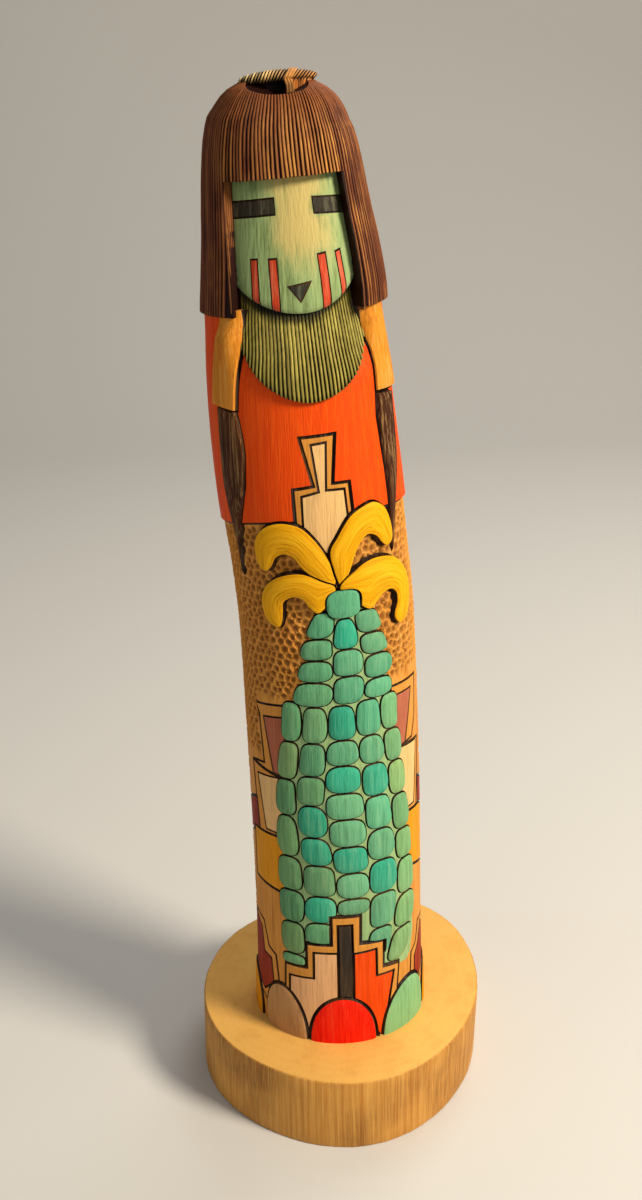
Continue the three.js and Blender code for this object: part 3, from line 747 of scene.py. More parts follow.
def shaftSheet(shapes):
    # the flat sheet: its points and triangles, and the scoops on it
    rng = np.random.default_rng(gouges["seed"])
    low, high = np.array([seam - around, root["floor"]]), np.array([seam, shaftNet["top"]])
    upright = np.arange(low[1], high[1] + 0.01, shaftNet["upright"])
    level = np.linspace(low[0], high[0], shaftNet["round"])
    border = np.vstack([pairs(level[:-1], low[1]), pairs(high[0], upright[:-1]),
                        pairs(level[:0:-1], high[1]), pairs(low[0], upright[:0:-1])])
    scoops, free = scoopNet(low, high, rng)
    # a finer net under the ear and the leaves than on the plain paint
    coarse = hexPoints(low, high, shaftNet["coarse"], rng)
    coarse = coarse[gougeZone(coarse) <= gouges["least"]]
    fine = hexPoints(shaftNet["fineFrom"], shaftNet["fineTo"], shaftNet["fine"], rng)
    inFine = ((coarse > shaftNet["fineFrom"]) & (coarse < shaftNet["fineTo"])).all(1)
    painted, kept = np.zeros(len(free), bool), np.zeros(len(fine), bool)
    for shape in shapes[1:]:
        for points, marks, depth in ((free, painted, -0.8), (fine, kept, 0.3)):
            at = shape.near(points)
            marks[at] |= inside(points[at], shape.loop) > depth
    extra = np.vstack([free[~painted], coarse[~inFine], fine[kept]])
    extra = extra[((extra > low + 0.6) & (extra < high - 0.6)).all(1)]
    print("shaft: %d outlines, %d free points" % (len(shapes), len(extra)))
    points, tris = sheetMesh(border, shapes, extra)
    centres = points[tris].mean(1)
    return low, high, points, tris[((centres > low) & (centres < high)).all(1)], scoops


def makeShaft():
    shapes = allShapes()
    low, high, points, tris, scoops = shaftSheet(shapes)
    centres = points[tris].mean(1)

    # heights: the bare ground first, then each shape over what lies under it
    ground = -hem["thick"] / 2 * ease(180, 205, points[:, 1])
    nearest, second = nearestTwo(points, scoops)
    bowl = np.clip(1 - (2 * nearest / np.maximum(nearest + second, 1e-6)) ** 2, 0, 1)
    heights = ground - gouges["depth"] * bowl * gougeZone(points)
    blade = np.zeros((len(points), 3))
    slots, paint = np.full(len(tris), slotOrder.index("ground")), np.tile(linear(colours["tan"]), (len(tris), 1))
    for shape in shapes:
        shape.carve(points, heights)
        at = shape.near(centres)
        d = inside(centres[at], shape.loop)
        for here, slot, fill in ((at[d >= shape.lineIn], shape.slot, shape.fill),
                                 (at[(d < shape.lineIn) & (d > -shape.line)], "burn", colours["burn"])):
            slots[here], paint[here] = slotOrder.index(slot), linear(fill)
        if shape.kind == "leaf":
            at = shape.near(points)
            at = at[inside(points[at], shape.loop) > -0.05]
            blade[at] = bladeLines(points[at], shape)
    # rise is how high a point stands over the ground; low places are painted darker, partly stain and partly
    # painted shade
    rise = np.clip(1 + (heights - ground) / 0.8, 0, 1)
    # the arms go in under the hair, and the body stands back behind the beard
    x, v = points.T
    heights = np.minimum(heights, tuck["armLow"] + tuck["armFree"] * (1 - ease(*tuck["hair"], v)))
    heights -= tuck["deep"] * ease(*tuck["beard"], v) * (1 - ease(*tuck["beardSide"], np.abs(x - tuck["middle"])))

    # lay the sheet round the root, then close the back and both ends
    placed = onRoot(x, v, heights)
    placed[v < root["floor"] + 1e-3, 2] = root["floor"]
    key = np.round(pairs(np.where(x < low[0] + 1e-3, high[0], x), v), 3)
    _, first, welded = np.unique(key, axis=0, return_index=True, return_inverse=True)
    placed, blade, rise, key = placed[first], blade[first], rise[first], key[first]
    tris = welded.reshape(-1)[tris]
    good = (tris[:, 0] != tris[:, 1]) & (tris[:, 1] != tris[:, 2]) & (tris[:, 0] != tris[:, 2])
    faces, slots, paint = [tuple(t) for t in tris[good]], slots[good], paint[good]
    for end, turn in ((low[1], -1), (high[1], 1)):
        ring = np.where(np.abs(key[:, 1] - round(end, 3)) < 2e-3)[0]
        ring = ring[np.argsort(key[ring, 0])]
        faces += [(len(placed), *(a, b)[::turn]) for a, b in zip(ring, np.roll(ring, -1))]
        placed = np.vstack([placed, placed[ring].mean(0)])
        rise, blade = np.append(rise, 1.0), np.vstack([blade, [0, 0, 0]])
        slots = np.append(slots, [slotOrder.index("ground")] * len(ring))
        paint = np.vstack([paint, [linear(colours["tan"])] * len(ring)])
    thing = makeMesh("shaft", placed, faces, [finishes[name] for name in slotOrder], slots, paint)
    addValues(thing, "blade", blade)
    addValues(thing, "rise", rise)
    print("shaft: %d triangles" % len(faces))
    return thing


def makeRibTree():
    # sweeps a round rib along every guide line, its own thickness times Thickness
    w, given, made = nodeGroup("combedRibs", {"Geometry": None, "Thickness": 1.0, "Sides": 8, "Wobble": 0.0001,
                                              "Seed": 3, "Finish": None}, ("Geometry",), "GeometryNodeTree")
    curve = w.add("GeometryNodeMeshToCurve", Mesh=given["Geometry"])[0]
    noise = w.add("ShaderNodeTexNoise", {"noise_dimensions": "4D"}, W=given["Seed"], Scale=160.0,
                  Detail=1.0)["Color"]
    centred = w.add("ShaderNodeVectorMath", {"operation": "SUBTRACT"}, i0=noise, i1=(0.5, 0.5, 0.5))[0]
    shift = w.add("ShaderNodeVectorMath", {"operation": "SCALE"}, i0=centred, Scale=given["Wobble"])[0]
    moved = w.add("GeometryNodeSetPosition", Geometry=curve, Offset=shift)[0]
    thick = w.add("GeometryNodeInputNamedAttribute", {"data_type": "FLOAT"}, Name="thick")[0]
    tone = w.add("FunctionNodeRandomValue", {"data_type": "FLOAT"}, Seed=given["Seed"])
    kept = w.add("GeometryNodeStoreNamedAttribute", {"data_type": "FLOAT", "domain": "CURVE"}, Geometry=moved,
                 Name="tone", Value=[o for o in tone if o.enabled][0])[0]
    ring = w.add("GeometryNodeCurvePrimitiveCircle", Resolution=given["Sides"], Radius=1.0)[0]
    swept = w.add("GeometryNodeCurveToMesh", Curve=kept, Profile_Curve=ring,
                  Scale=w.times(thick, given["Thickness"]), Fill_Caps=True)[0]
    whole = w.add("GeometryNodeRealizeInstances", i0=swept)[0]
    w.put(made[0], w.add("GeometryNodeSetMaterial", Geometry=whole, Material=given["Finish"])[0])
    return w.tree


ribTree = makeRibTree()
ribSockets = {item.name: item.identifier for item in ribTree.interface.items_tree if item.in_out == "INPUT"}


def sweepRibs(name, guides, material, sides=8, wobble=0.1, seed=3):
    # guides: a list of (points, thickness along them), in millimetres
    points = np.vstack([g[0] for g in guides]) / 1000
    thick = np.concatenate([np.broadcast_to(g[1], len(g[0])) for g in guides]) / 1000
    edges, start = [], 0
    for g in guides:
        edges += [(start + k, start + k + 1) for k in range(len(g[0]) - 1)]
        start += len(g[0])
    mesh = bpy.data.meshes.new(name)
    mesh.from_pydata(points.tolist(), edges, [])
    mesh.attributes.new("thick", "FLOAT", "POINT").data.foreach_set("value", thick)
    thing = addObject(name, mesh)
    modifier = thing.modifiers.new("ribs", "NODES")
    modifier.node_group = ribTree
    for label, value in (("Thickness", 1.0), ("Sides", sides), ("Wobble", wobble / 1000), ("Seed", seed),
                         ("Finish", material)):
        modifier[ribSockets[label]] = value
    thing.data = baked(thing)
    smoothUp(thing.data, 60)
    return thing


def joinThings(name, things):
    with bpy.context.temp_override(active_object=things[0], selected_editable_objects=things,
                                   selected_objects=things):
        bpy.ops.object.join()
    things[0].name = things[0].data.name = name
    return things[0]


def loft(name, rings, material, smooth=50.0):
    # a closed skin over rings of points
    count, points, faces = len(rings[0]), np.vstack(rings), []
    for row in range(len(rings) - 1):
        for i in range(count):
            a, b = row * count + i, row * count + (i + 1) % count
            faces.append((a, b, b + count, a + count))
    for ring, first, turn in ((rings[0], 0, -1), (rings[-1], (len(rings) - 1) * count, 1)):
        faces += [(len(points), *(first + i, first + (i + 1) % count)[::turn]) for i in range(count)]
        points = np.vstack([points, ring.mean(0)])
    return makeMesh(name, points, faces, [material], smooth=smooth)


def plate(name, columns, rows, outer, inner, material):
    # a closed slab between two skins, each given for u across and v along
    u, v = np.meshgrid(np.linspace(0, 1, columns + 1), np.linspace(0, 1, rows + 1))
    points = np.vstack([outer(u.ravel(), v.ravel()), inner(u.ravel(), v.ravel())])
    back, grid = u.size, np.arange(u.size).reshape(u.shape)
    faces = []
    for j in range(rows):
        for i in range(columns):
            a, b, c, d = (int(k) for k in (grid[j, i], grid[j, i + 1], grid[j + 1, i + 1], grid[j + 1, i]))
            faces += [(a, b, c, d), (back + a, back + d, back + c, back + b)]
    walls = []
    for i in range(columns):
        walls += [(grid[0, i], grid[0, i + 1]), (grid[rows, i + 1], grid[rows, i])]
    for j in range(rows):
        walls += [(grid[j + 1, 0], grid[j, 0]), (grid[j, columns], grid[j + 1, columns])]
    faces += [(b, a, back + a, back + b) for a, b in walls]
    return makeMesh(name, points, faces, [material], smooth=50.0)


face = {
    "sunk": 4.0, "thick": 3.0, "top": 314.0, "left": (-23.6, -25.0), "right": (27.4, 31.4),
    "chin": {"centre": 2, "low": 276.8, "rise": 7.2, "half": 24},
    "eye": [[(-24.4, 302.6), (-3.9, 302.9), (-3.9, 307.0), (-24.2, 306.6)],
            [(12.2, 302.2), (30.4, 301.2), (30.3, 305.4), (12.2, 306.3)]],
    "stripe": [[(-15.4, 291.8), (-12.6, 291.8), (-12.2, 278), (-15.0, 278)],
               [(-8, 291.6), (-4.9, 291.6), (-4.5, 276), (-7.4, 276)],
                [(10.9, 291.6), (14.2, 291.8), (14.4, 276), (11.3, 276)],
                [(18.6, 291.6), (21, 292), (21.6, 278), (19.4, 278)]],
    "bare": (6.5, 15.5),         # middle and half width of the worn patch
    "mouth": [[(-1.2, 284), (7, 284.9), (2.9, 280)]],
    "colours": {"skin": (0.53, 0.62, 0.40), "eye": (0.19, 0.17, 0.13), "stripe": (0.74, 0.25, 0.13),
                "mouth": (0.20, 0.20, 0.16),
                "wood": (0.75, 0.66, 0.40)},
}
finishes["face"] = paintMaterial("facePaint", wood=face["colours"]["wood"], Variation=0.85, Wear=0.9, Pooling=0.4,
                                 fineness=1500.0, bump=0.6, Lift=0.2, thinned="thinned", stain=(0.05, 0.05, 0.03),
                                 streak=(0.85, 0.85, 0.50))


def chinAt(across):
    chin = face["chin"]
    return chin["low"] + chin["rise"] * ((across - chin["centre"]) / chin["half"]) ** 2


def makeFace():
    tones = {name: linear(tone) for name, tone in face["colours"].items()}
    shapes = [Shape(straightLoop(p, 1.2), kind, "face", "face") for kind in ("eye", "stripe",
        "mouth") for p in face[kind]]
    (lowLeft, highLeft), (lowRight, highRight), top = face["left"], face["right"], face["top"]
    low = np.linspace(lowLeft, lowRight, 36)
    border = np.vstack([pairs(low, chinAt(low)),
                        np.linspace((lowRight, chinAt(lowRight)), (highRight, top), 18)[1:],
                        np.linspace((highRight, top), (highLeft, top), 30)[1:],
                        np.linspace((highLeft, top), (lowLeft, chinAt(lowLeft)), 18)[1:-1]])
    extra = hexPoints(border.min(0), border.max(0), 1.5, np.random.default_rng(4))
    points, tris = sheetMesh(border, shapes, extra[inside(extra, border) > 0.7])
    tris = tris[inside(points[tris].mean(1), border) > 0]
    centres = points[tris].mean(1)
    heights = np.zeros(len(points))
    slots, paint = np.zeros(len(tris), int), np.tile(tones["skin"], (len(tris), 1))
    for shape in shapes:
        shape.carve(points, heights)
        d = inside(centres, shape.loop)
        paint[d >= shape.lineIn] = tones[shape.fill]
        slots[(d < shape.lineIn) & (d > -shape.line)] = 1
    heights -= 0.5 * np.clip(1 - np.abs(inside(points, border)) / 0.8, 0, 1) * (points[:, 1] < 290)
    used, tris = np.unique(tris, return_inverse=True)
    points, heights, tris = points[used], heights[used], tris.reshape(-1, 3)
    x, v = points.T
    front = onRoot(x, v, heights - face["sunk"], hairLine)
    back = onRoot(x, v, -face["sunk"] - face["thick"], hairLine)
    edges = [pair for a, b, c in tris for pair in ((a, b), (b, c), (c, a))]
    known, count = set(edges), len(points)
    more = [(c + count, b + count, a + count) for a, b, c in tris]
    more += [(b, a, a + count, b + count) for a, b in edges if (b, a) not in known]
    thing = makeMesh("face", np.vstack([front, back]), [tuple(t) for t in tris] + more,
                     [finishes["face"], finishes["burn"]], np.append(slots,
                         np.zeros(len(more), int)), np.vstack([paint, np.tile(tones["skin"], (len(more), 1))]))
    addValues(thing, "rise", np.tile(np.clip(1 + heights / 0.4, 0, 1), 2))
    middle, half = face["bare"]
    bare = np.exp(-(np.abs(x - middle) / half) ** 3) * (0.3 * ease(277, 284, v) + 0.7 * ease(283, 298, v))
    for shape in shapes:
        bare *= 1 - ease(-0.6, 0.1, inside(points, shape.loop))
    addValues(thing, "thinned", np.tile(np.clip(bare, 0, 1), 2))
    return thing


hair = {
    "strands": 122, "sunk": 0.62, "groove": (0.42, 0.9), "rim": 276.4, "rimRise": 1.6, "bangs": 312.0,
    "left": {"outer": (-24.0, -20.6), "inner": (-24.2, -23.0)},
    "right": {"outer": (26.0, 25.2), "inner": (30.2, 26.4)},
    "deep": 6.6, "wallStrands": (0.1, 0.32, 0.54, 0.76), "wallRib": 0.42, "top": 335.6, "cave": 3.5,
    "caveTurn": 1.6, "neck": 6.8,
    "rings": (282, 288, 294, 300, 306, 311, 315, 318.5, 321.5, 324.5, 327, 329.5, 331.3, 331.9, 332.5, 333.1,
              333.7, 334.3, 334.9, 335.4),
    "dark": (0.13, 0.035, 0.02), "mid": (0.43, 0.22, 0.11), "ridge": (0.85, 0.61, 0.28),
}
beard = {
    "centre": 3.4, "half": 23.8, "proud": 2.1, "ribs": 38, "rib": 0.66, "groove": (0.5, 0.95),
    # lower edge, from left to right
    "edge": [(-20.4, 274), (-20.2, 270), (-17.6, 266.4), (-13.6, 261.8), (-9.4, 258.2), (-4.6, 255.3),
             (0, 253.6), (4, 252.9), (9, 253.5), (14, 255.3), (18.6, 258.2), (22.4, 261.9), (25.2, 265.6),
             (27.0, 269.4), (27.2, 273)],
    "under": [(4.9, 256, 281), (1.0, 266, 278)],        # how deep it goes in under the chin, from where to where
    "dark": (0.07, 0.05, 0.02), "mid": (0.33, 0.31, 0.09), "ridge": (0.74, 0.68, 0.33), "spread": 0.13,
}
beardEdge = through(beard["edge"])


def combedMaterial(name, tones):
    # stained ribs, dark between them as stain and painted shade, bare and golden along their tops, on the hair also
    # as a painted highlight where the light falls
    material, w, where = newMaterial(name)
    grain = w.grain(where, 1200.0, 0.08)
    ridge = w.plus(w.value("rise"), w.times(w.plus(grain["Fine"], -0.5), 0.35))
    goldAndHighlight = w.times(w.span(ridge, 0.78, 1.05), w.times(w.value("worn"),
        w.span(w.value("tone"), 0.0, 0.8, (0.5, 1.0))))
    colour = w.blend(w.span(ridge, *tones["groove"]), shade(tones["dark"]), shade(tones["mid"]))
    colour = w.blend(goldAndHighlight, colour, shade(tones["ridge"]))
    streak = w.blend(w.span(grain["Streaks"], 0.35, 0.65), (0.78, 0.74, 0.7, 1), (1.12, 1.1, 1.06, 1))
    return finishMaterial(material, w, w.blend(0.8, colour, streak, "MULTIPLY"),
                          w.span(grain["Fine"], 0.3, 0.7, (0.62, 0.48)), 0.15, grain["Fine"], 0.35)


finishes["hair"] = combedMaterial("combedHair", hair)
finishes["beard"] = combedMaterial("combedBeard", beard)


def windowEdge(side, height, deep):
    # across, at the edge of the opening: deep 0 on the outside of the hair, 1 at the face
    t = np.clip((hair["bangs"] - height) / (hair["bangs"] - 275), 0, 1)
    outer, inner = [high + (low - high) * t for high, low in (hair[side]["outer"], hair[side]["inner"])]
    return outer + (inner - outer) * deep


def crownAt(turn):
    # where the hair ends at the top: lower in front, where it is cut away below the tuft
    front = np.clip(np.cos(np.clip(hair["caveTurn"] * turn, -math.pi, math.pi)), 0, 1)
    return hair["top"] - hair["cave"] * front ** 0.9


def rimAt(across):
    return hair["rim"] + hair["rimRise"] * np.sin(across / root["girth"])


def hairCore():
    # the smooth core, let in round the neck of the tuft, with the opening for the face cut out of it
    sunk = hair["sunk"]
    turns = np.arange(120) / 120 * around - around / 2
    rings, top = [onRoot(turns, rimAt(turns), -sunk, hairLine)], crownAt(turns / root["girth"])
    for v in hair["rings"]:
        let = ease(-0.2, 0.5, v - top) * max(hairLine(v)[1] - hair["neck"], 0)
        rings.append(onRoot(turns, v, -sunk - 0.3 * float(ease(326, 336, v)) - let, hairLine))
    core = loft("hair", rings, finishes["hair"])

    def cutter(reach, out):
        def skin(u, v):
            height = 270 + (hair["bangs"] - 270) * v
            left, right = windowEdge("left", height, reach), windowEdge("right", height, reach)
            return onRoot(left + (right - left) * u, height, out, hairLine)
        return skin
    tool = plate("windowTool", 24, 14, cutter(-0.9, 4.0), cutter(1.0, -hair["deep"]), finishes["hair"])
    cut = core.modifiers.new("window", "BOOLEAN")
    cut.operation, cut.object, cut.solver = "DIFFERENCE", tool, "MANIFOLD"
    core.data = baked(core)
    bpy.data.objects.remove(tool)
    smoothUp(core.data, 35)
    return core


def makeHair():
    core, sunk, count = hairCore(), hair["sunk"], hair["strands"]
    guides, rng = [], random.Random(8)
    for i in range(count):
        across = (i + 0.5) / count * around - around / 2
        low, top = float(rimAt(across)), float(crownAt(across / root["girth"]))
        if windowEdge("left", 300, 0) - 0.2 < across < windowEdge("right", 300, 0) + 0.2:
            low = hair["bangs"] + rng.uniform(-0.12, 0.1)
        heights = np.concatenate([np.arange(low, 322, 2.6), np.arange(max(low + 2, 323), top - 0.5, 1.5), [top]])
        thick = np.pi * (hairLine(heights)[:, 1] - sunk) / count * rng.uniform(0.86, 1.1)
        wander = across + 0.16 * np.sin(heights * 0.13 + i) + rng.uniform(-0.08, 0.08)
        guides.append((onRoot(wander, heights, -thick * 1.02 - rng.uniform(0, 0.12), hairLine), thick))
    thing = joinThings("hair", [core, sweepRibs("strands", guides, finishes["hair"], wobble=0.25, seed=6)])
    across, along, out = offRoot(pointsOf(thing), hairLine)
    addValues(thing, "rise", np.clip((out + sunk) / sunk, 0, 1))
    # painted highlight: the ridges turn golden towards the front right, where the light falls, as well as where
    # worn; worn carries both
    lit = np.exp(-((across - 12) / 34) ** 2) * (0.1 + 0.9 * ease(334, 315, along))
    addValues(thing, "worn", np.clip(lit, 0.1, 1))

    # the strands in the walls of the opening
    heights = np.arange(hair["rim"] + 0.4, hair["bangs"] + 1.5, 2.6)
    walls = [(onRoot(windowEdge(side, heights, deep), heights, -sunk - deep * 3.6, hairLine), hair["wallRib"])
             for side in ("left", "right") for deep in hair["wallStrands"]]
    wallThing = sweepRibs("wallStrands", walls, finishes["hair"], wobble=0.2, seed=12)
    addValues(wallThing, "rise", 0.85)
    addValues(wallThing, "worn", 0.55)
    thing = joinThings("hair", [thing, wallThing])
    print("hair: %d faces" % len(thing.data.polygons))
    return thing


def beardLow(across):
    return beardEdge(np.clip(across, beard["edge"][0][0], beard["edge"][-1][0]))[..., 0]


def onBeard(across, height, out):
    # the beard spreads where it comes out from under the hair, and goes in under the chin
    wide = across + beard["spread"] * (across - beard["centre"]) * ease(265, 277, height)
    return onRoot(wide, height, beardOut(height) + out)


def beardOut(height):
    return beard["proud"] - sum(deep * ease(low, high, height) for deep, low, high in beard["under"])


def makeBeard():
    def skin(out):
        def at(u, v):
            across = beard["centre"] + beard["half"] * (2 * u - 1) * 0.985
            low = beardLow(across) + 0.1
            return onBeard(across, low + (chinAt(across) + 1.2 - low) * v, out)
        return at
    slab = plate("beard", 44, 12, skin(-beard["rib"] * 0.9), skin(-3.4), finishes["beard"])
    guides, rng = [], random.Random(2)
    for i in range(beard["ribs"]):
        across = beard["centre"] + beard["half"] * ((i + 0.5) / beard["ribs"] * 2 - 1)
        low, high = float(beardLow(across)), float(chinAt(across)) + 1.4
        heights = np.linspace(low, high, max(5, int((high - low) / 1.6)))
        thick = np.full(len(heights), beard["rib"] * rng.uniform(0.88, 0.98))
        thick[0] *= 0.9
        guides.append((onBeard(across, heights, -beard["rib"]), thick))
    ribs = sweepRibs("beardRibs", guides, finishes["beard"], sides=10, wobble=0.15, seed=9)
    thing = joinThings("beard", [slab, ribs])
    across, along, out = offRoot(pointsOf(thing))
    # painted shade: the beard darkens up towards the chin, which shades it
    shadow = 0.5 + 0.5 * ease(0, 3.5, chinAt(across) - along)
    addValues(thing, "rise", np.clip((out - beardOut(along)) / 0.5 + 1, 0, 1) * shadow)
    addValues(thing, "worn", 0.85)
    print("beard: %d faces" % len(thing.data.polygons))
    return thing


tuft = {
    "width": 10.6, "depth": 7.6, "middle": 336.5, "arch": 0.6, "tilt": 0.45, "thick": 1.55, "neck": 5.2,
    "neckRings": (330.2, 333.5, 336.4),
    # how far the fibres lean, on the left and on the right
    "fibre": 0.42, "pitch": 0.86, "lean": (0.45, 0.9),
    "knot": [(2.5, 0.42), (3.2, 0.5), (3.9, 0.4)], "fan": 9, "knotEnds": (334.4, 332.6, 330.6),
    "cream": (0.88, 0.76, 0.50), "dark": (0.08, 0.035, 0.02), "tan": (0.70, 0.42, 0.16),
}
crown = (float(hairLine(336.0)[0]) + root["foot"][0], root["foot"][1])


def tuftMiddle(x):
    # height of the bundle's middle line
    return tuft["middle"] + tuft["tilt"] * x / tuft["width"] - tuft["arch"] * (x / tuft["width"]) ** 2


def tuftLean(x):
    return tuft["lean"][0] + (tuft["lean"][1] - tuft["lean"][0]) * ease(-2, 8, x)


def tuftSkin(x, turn, inset=0.0):
    # turn goes round the bundle, from its front edge over the top to its back
    girth = np.sqrt(np.maximum(1 - (x / tuft["width"]) ** 2, 0.02))
    rise = (tuft["thick"] * girth ** 0.9 - inset) * np.sin(turn)
    return np.stack([x + tuftLean(x) * rise + crown[0],
                     -(tuft["depth"] * girth - inset) * np.cos(turn) + crown[1], tuftMiddle(x) + rise], -1)


def makeTuft():
    # the core of the bundle on its neck, the fibres laid over it, their ends fanned out below, and the knot
    turns, width, pitch = np.arange(40) / 40 * 2 * math.pi, tuft["width"], tuft["pitch"]
    skins = [tuftSkin(np.full(40, x), turns, 0.2) for x in np.linspace(-width + 0.25, width - 0.25, 26)]
    core = loft("tuft", skins, finishes["tuft"])
    ring = pairs(crown[0] + tuft["neck"] * np.cos(turns), crown[1] + tuft["neck"] * np.sin(turns))
    neck = loft("neck", [np.insert(ring, 2, z, axis=1) for z in tuft["neckRings"]], finishes["tuft"])
    fibres, count = [], int(2 * width / pitch)
    for k in range(count):
        x = (k + 0.5 - count / 2) * pitch
        fibres.append((tuftSkin(np.full(18, x), np.linspace(-0.9, math.pi + 0.9, 18)), tuft["fibre"]))
    for k in range(tuft["fan"]):
        high, x = tuftSkin(np.array(3.6 + 0.7 * k), np.array(-0.35)), 3.4 + 0.5 * k
        low = np.array([crown[0] + x, crown[1] - 0.8 * math.sqrt(max(9.6 ** 2 - x * x, 1)), 330.6 + 0.35 * k])
        fibres.append((high + (low - high) * np.linspace(0, 1, 6)[:, None], tuft["fibre"] * 1.05))
    barbs = sweepRibs("barbs", fibres, finishes["tuft"], wobble=0.12, seed=4)
    thing = joinThings("tuft", [core, neck, barbs])
    knots = [(np.vstack([tuftSkin(np.full(10, x), np.linspace(1.9, -0.3, 10), -0.25),
                         [(crown[0] + x + 0.3, crown[1] - 8.2, z) for z in tuft["knotEnds"]]]), thick)
             for x, thick in tuft["knot"]]
    knot = sweepRibs("knot", knots, finishes["tuft"], wobble=0.3, seed=7)
    for part, tied in ((thing, False), (knot, True)):
        x, y, z = (pointsOf(part) - np.array([*crown, 0])).T
        phase = ((x - tuftLean(x) * (z - tuftMiddle(x))) / pitch + 200) % 1
        fan = (z < tuftMiddle(x) - 1.0) & (x > 2.5)
        addValues(part, "rise", 0.9 if tied else np.where(fan, 0.6, 1 - np.abs(2 * phase - 1)))
        addValues(part, "side", 0.2 if tied else np.clip(0.55 - x / width * 0.8, 0.2, 1) * ~fan)
        # painted shadow: under darkens the fibres beneath the left of the bundle, and the knot, where they lie in
        # shade
        addValues(part, "under", np.clip((tuftMiddle(x) - 0.7 - z) / 0.8, 0, 1) * (0.55 if tied else x < 2.2))
    thing = joinThings("tuft", [thing, knot])
    print("tuft: %d faces" % len(thing.data.polygons))
    return thing


def barbMaterial():
    material, w, where = newMaterial("barbPaint")
    grain, dark = w.grain(where, 900.0, 0.6), shade(tuft["dark"])
    pale = w.blend(w.value("side"), shade(tuft["tan"]), shade(tuft["cream"]))
    ridge = w.plus(w.value("rise"), w.times(w.plus(w.value("tone"), -0.5), 0.3))
    # under paints the shadow beneath the bundle dark
    colour = w.blend(w.value("under"), w.blend(w.span(ridge, 0.4, 0.66), dark, pale), dark)
    streak = w.blend(w.span(grain["Streaks"], 0.35, 0.65), (0.7, 0.66, 0.6, 1), (1.1, 1.08, 1.05, 1))
    return finishMaterial(material, w, w.blend(0.8, colour, streak, "MULTIPLY"), 0.6, 0.12, grain["Fine"], 0.35)


finishes["tuft"] = barbMaterial()

woodSlice = {
    "height": 28.0, "radius": 51.2, "waves": [(2, -0.2, 1.35), (3, -1.2, 0.9), (4, -0.35, -0.15),
        (5, 0.25, -0.35)],
    "slant": (-1.0, -0.25), "round": 0.7, "sides": 240, "uneven": (0.05, 0.03),
    "wood": (0.88, 0.67, 0.34), "late": (0.72, 0.48, 0.19), "stain": (0.42, 0.24, 0.08),
}


def sliceMaterial():
    # end grain in faint rings on the faces, long streaks down the sides, with the sides painted darker than the
    # top, partly as painted shade
    material, w, where = newMaterial("bareSlice")
    rings = w.add("ShaderNodeTexWave", {"wave_type": "RINGS", "rings_direction": "Z", "wave_profile": "SIN"},
                  Vector=where, Scale=90.0, Distortion=6.0, Detail=3.0, Detail_Scale=1.2)["Fac"]
    grain = w.grain(where, 2600.0, 0.02)
    blot = w.add("ShaderNodeTexNoise", Vector=where, Scale=120.0, Detail=4.0, Roughness=0.6)["Fac"]
    fine = w.add("ShaderNodeTexNoise", Vector=where, Scale=1400.0, Detail=2.0)["Fac"]
    top, wood, late = w.value("top"), shade(woodSlice["wood"]), shade(woodSlice["late"])
    onTop = w.blend(w.times(rings, 0.06), wood, late)
    onTop = w.blend(w.times(w.span(blot, 0.5, 0.75), 0.3), onTop, late)
    patch = w.times(w.span(grain["Broad"], 0.42, 0.66), w.span(grain["Fine"], 0.3, 0.6))
    # painted shade in part: the sides lean to the late colour, with darker patches
    onSide = w.blend(w.span(grain["Streaks"], 0.36, 0.66, (0.35, 1.0)), wood, late)
    onSide = w.blend(w.times(patch, 0.65), onSide, shade(woodSlice["stain"]))
    return finishMaterial(material, w, w.blend(top, onSide, onTop), w.span(fine, 0.3, 0.7, (0.66, 0.56)), 0.2,
                          w.blend(top, grain["Fine"], fine), 0.3, 0.0004)


def makeSlice():
    turns = np.arange(woodSlice["sides"]) / woodSlice["sides"] * 2 * math.pi
    edge = woodSlice["radius"] + sum(c * np.cos(n * turns) + s * np.sin(n * turns) for n, c,
                                     s in woodSlice["waves"])
    uneven, fine = woodSlice["uneven"]
    worn = uneven * np.sin(turns * 23 + 2 * np.sin(turns * 5)) + fine * np.sin(turns * 61)
    (slantX, slantY), high, soft = woodSlice["slant"], woodSlice["height"], woodSlice["round"]
    # each ring: its height, how far it is inside the edge and how rough it is
    half = [(0, 26, 0), (0, soft, 0.5), (soft * 0.3, soft * 0.3, 1), (soft, 0, 1)]
    outline = half + [(v, 0, 1) for v in (7, 14, 21)] + [(high - v, inset, rough) for v, inset,
        rough in half[::-1]]
    x, y = edge * np.cos(turns), edge * np.sin(turns)
    allX, allY = np.append(x + slantX, x), np.append(y + slantY, y)
    middleX, middleY = (allX.min() + allX.max()) / 2, (allY.min() + allY.max()) / 2
    rings = []
    for height, inset, rough in outline:
        low, reach = 1 - height / high, edge - inset + worn * rough - 0.2
        rings.append(np.stack([reach * np.cos(turns) + slantX * low - middleX,
                               reach * np.sin(turns) + slantY * low - middleY, np.full(len(turns), height)], 1))
    thing = loft("woodSlice", rings, sliceMaterial(), smooth=60)
    flat = [float(inset >= soft) for height, inset, rough in outline]
    addValues(thing, "top", np.append(np.repeat(flat, len(turns)), [1.0, 1.0]))
    return thing


for make, node, slot in ((makeShaft, "figure", "painted_root"), (makeFace, "figure", "painted_root"),
                         (makeHair, "figure", "painted_root"), (makeBeard, "figure", "painted_root"),
                         (makeTuft, "figure", "painted_root"), (makeSlice, "base", "bare_slice")):
    piece = make()
    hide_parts(node)
    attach(piece, "root")
    print("stage: %s made" % piece.name)

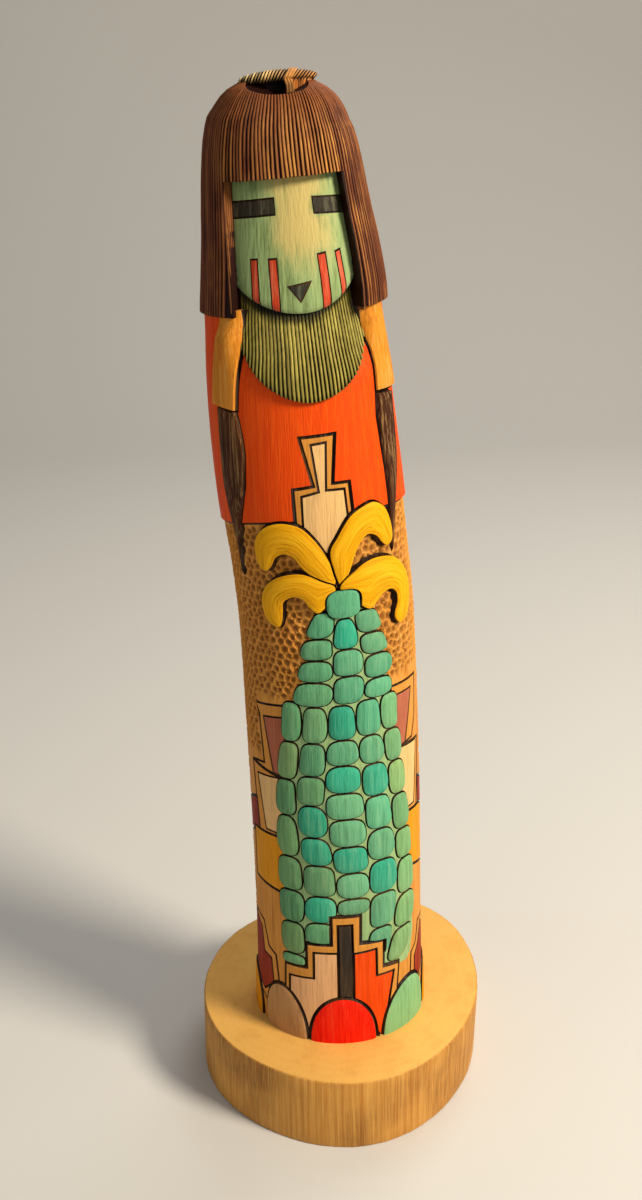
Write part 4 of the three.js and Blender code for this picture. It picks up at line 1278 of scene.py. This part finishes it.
view = {"place": (-3.26, -370.1, 338.08), "down": 23.0, "roll": 1.5, "lens": 37.5, "sensor": 36.0}
studio = {
    "floor": (0.80, 0.79, 0.77), "world": 0.27, "warmth": (1.0, 0.90, 0.74), "sweep": 0.5, "reach": 1.3,
    "target": (0, 0, 0.17),
    # name, place, size, power, share of the warmth
    "lights": [("key", (0.75, -0.45, 0.78), 0.3, 17.0, 1), ("fill", (-0.9, -0.6, 0.5), 0.8, 1.0, 0.4),
               ("back", (0.3, 0.5, 0.9), 0.6, 3.0, 0.2)],
}


def setCamera():
    data = bpy.data.cameras.new("camera")
    data.lens, data.sensor_width, data.sensor_height = view["lens"], view["sensor"], view["sensor"]
    data.sensor_fit, data.clip_start = "AUTO", 0.01
    camera = addObject("camera", data)
    turn = Matrix.Rotation(math.radians(90 - view["down"]), 4,
                           "X") @ Matrix.Rotation(math.radians(-view["roll"]), 4, "Z")
    camera.matrix_world = Matrix.Translation(Vector(view["place"]) / 1000) @ turn
    bpy.context.scene.camera = camera


def setFloor():
    # a floor that curves up behind into a backdrop
    bend, far = studio["sweep"], studio["reach"]
    turns = [k * math.pi / 24 for k in range(1, 12)]
    side = [(-far - 1, 0.0), (far - bend, 0.0)] + [(far - bend + bend * math.sin(t),
        bend - bend * math.cos(t)) for t in turns]
    side += [(far, bend), (far, 3.0)]
    mesh = bpy.data.meshes.new("floor")
    mesh.from_pydata([(x, y, z) for y, z in side for x in (-3, 3)], [],
                     [(2 * k, 2 * k + 1, 2 * k + 3, 2 * k + 2) for k in range(len(side) - 1)])
    mesh.polygons.foreach_set("use_smooth", [True] * len(mesh.polygons))
    material = bpy.data.materials.new("paleFloor")
    material.use_nodes = True
    shader = material.node_tree.nodes["Principled BSDF"].inputs
    shader["Base Color"].default_value, shader["Roughness"].default_value = shade(studio["floor"]), 0.8
    mesh.materials.append(material)
    addObject("floor", mesh)


def setLights():
    world = bpy.data.worlds.new("studio")
    bpy.context.scene.world = world
    world.use_nodes = True
    back = world.node_tree.nodes["Background"].inputs
    back["Color"].default_value, back["Strength"].default_value = (1, 1, 1, 1), studio["world"]
    for name, place, size, power, warm in studio["lights"]:
        data = bpy.data.lights.new(name, "AREA")
        data.shape, data.size, data.energy = "DISK", size, power
        data.color = [1 + (c - 1) * warm for c in studio["warmth"]]
        light = addObject(name, data)
        aim = (Vector(studio["target"]) - Vector(place)).to_track_quat("-Z", "Y").to_matrix().to_4x4()
        light.matrix_world = Matrix.Translation(place) @ aim
    bpy.context.scene.view_settings.view_transform = "Standard"


setCamera()
setFloor()
setLights()
print("stage: camera, floor and lights set")
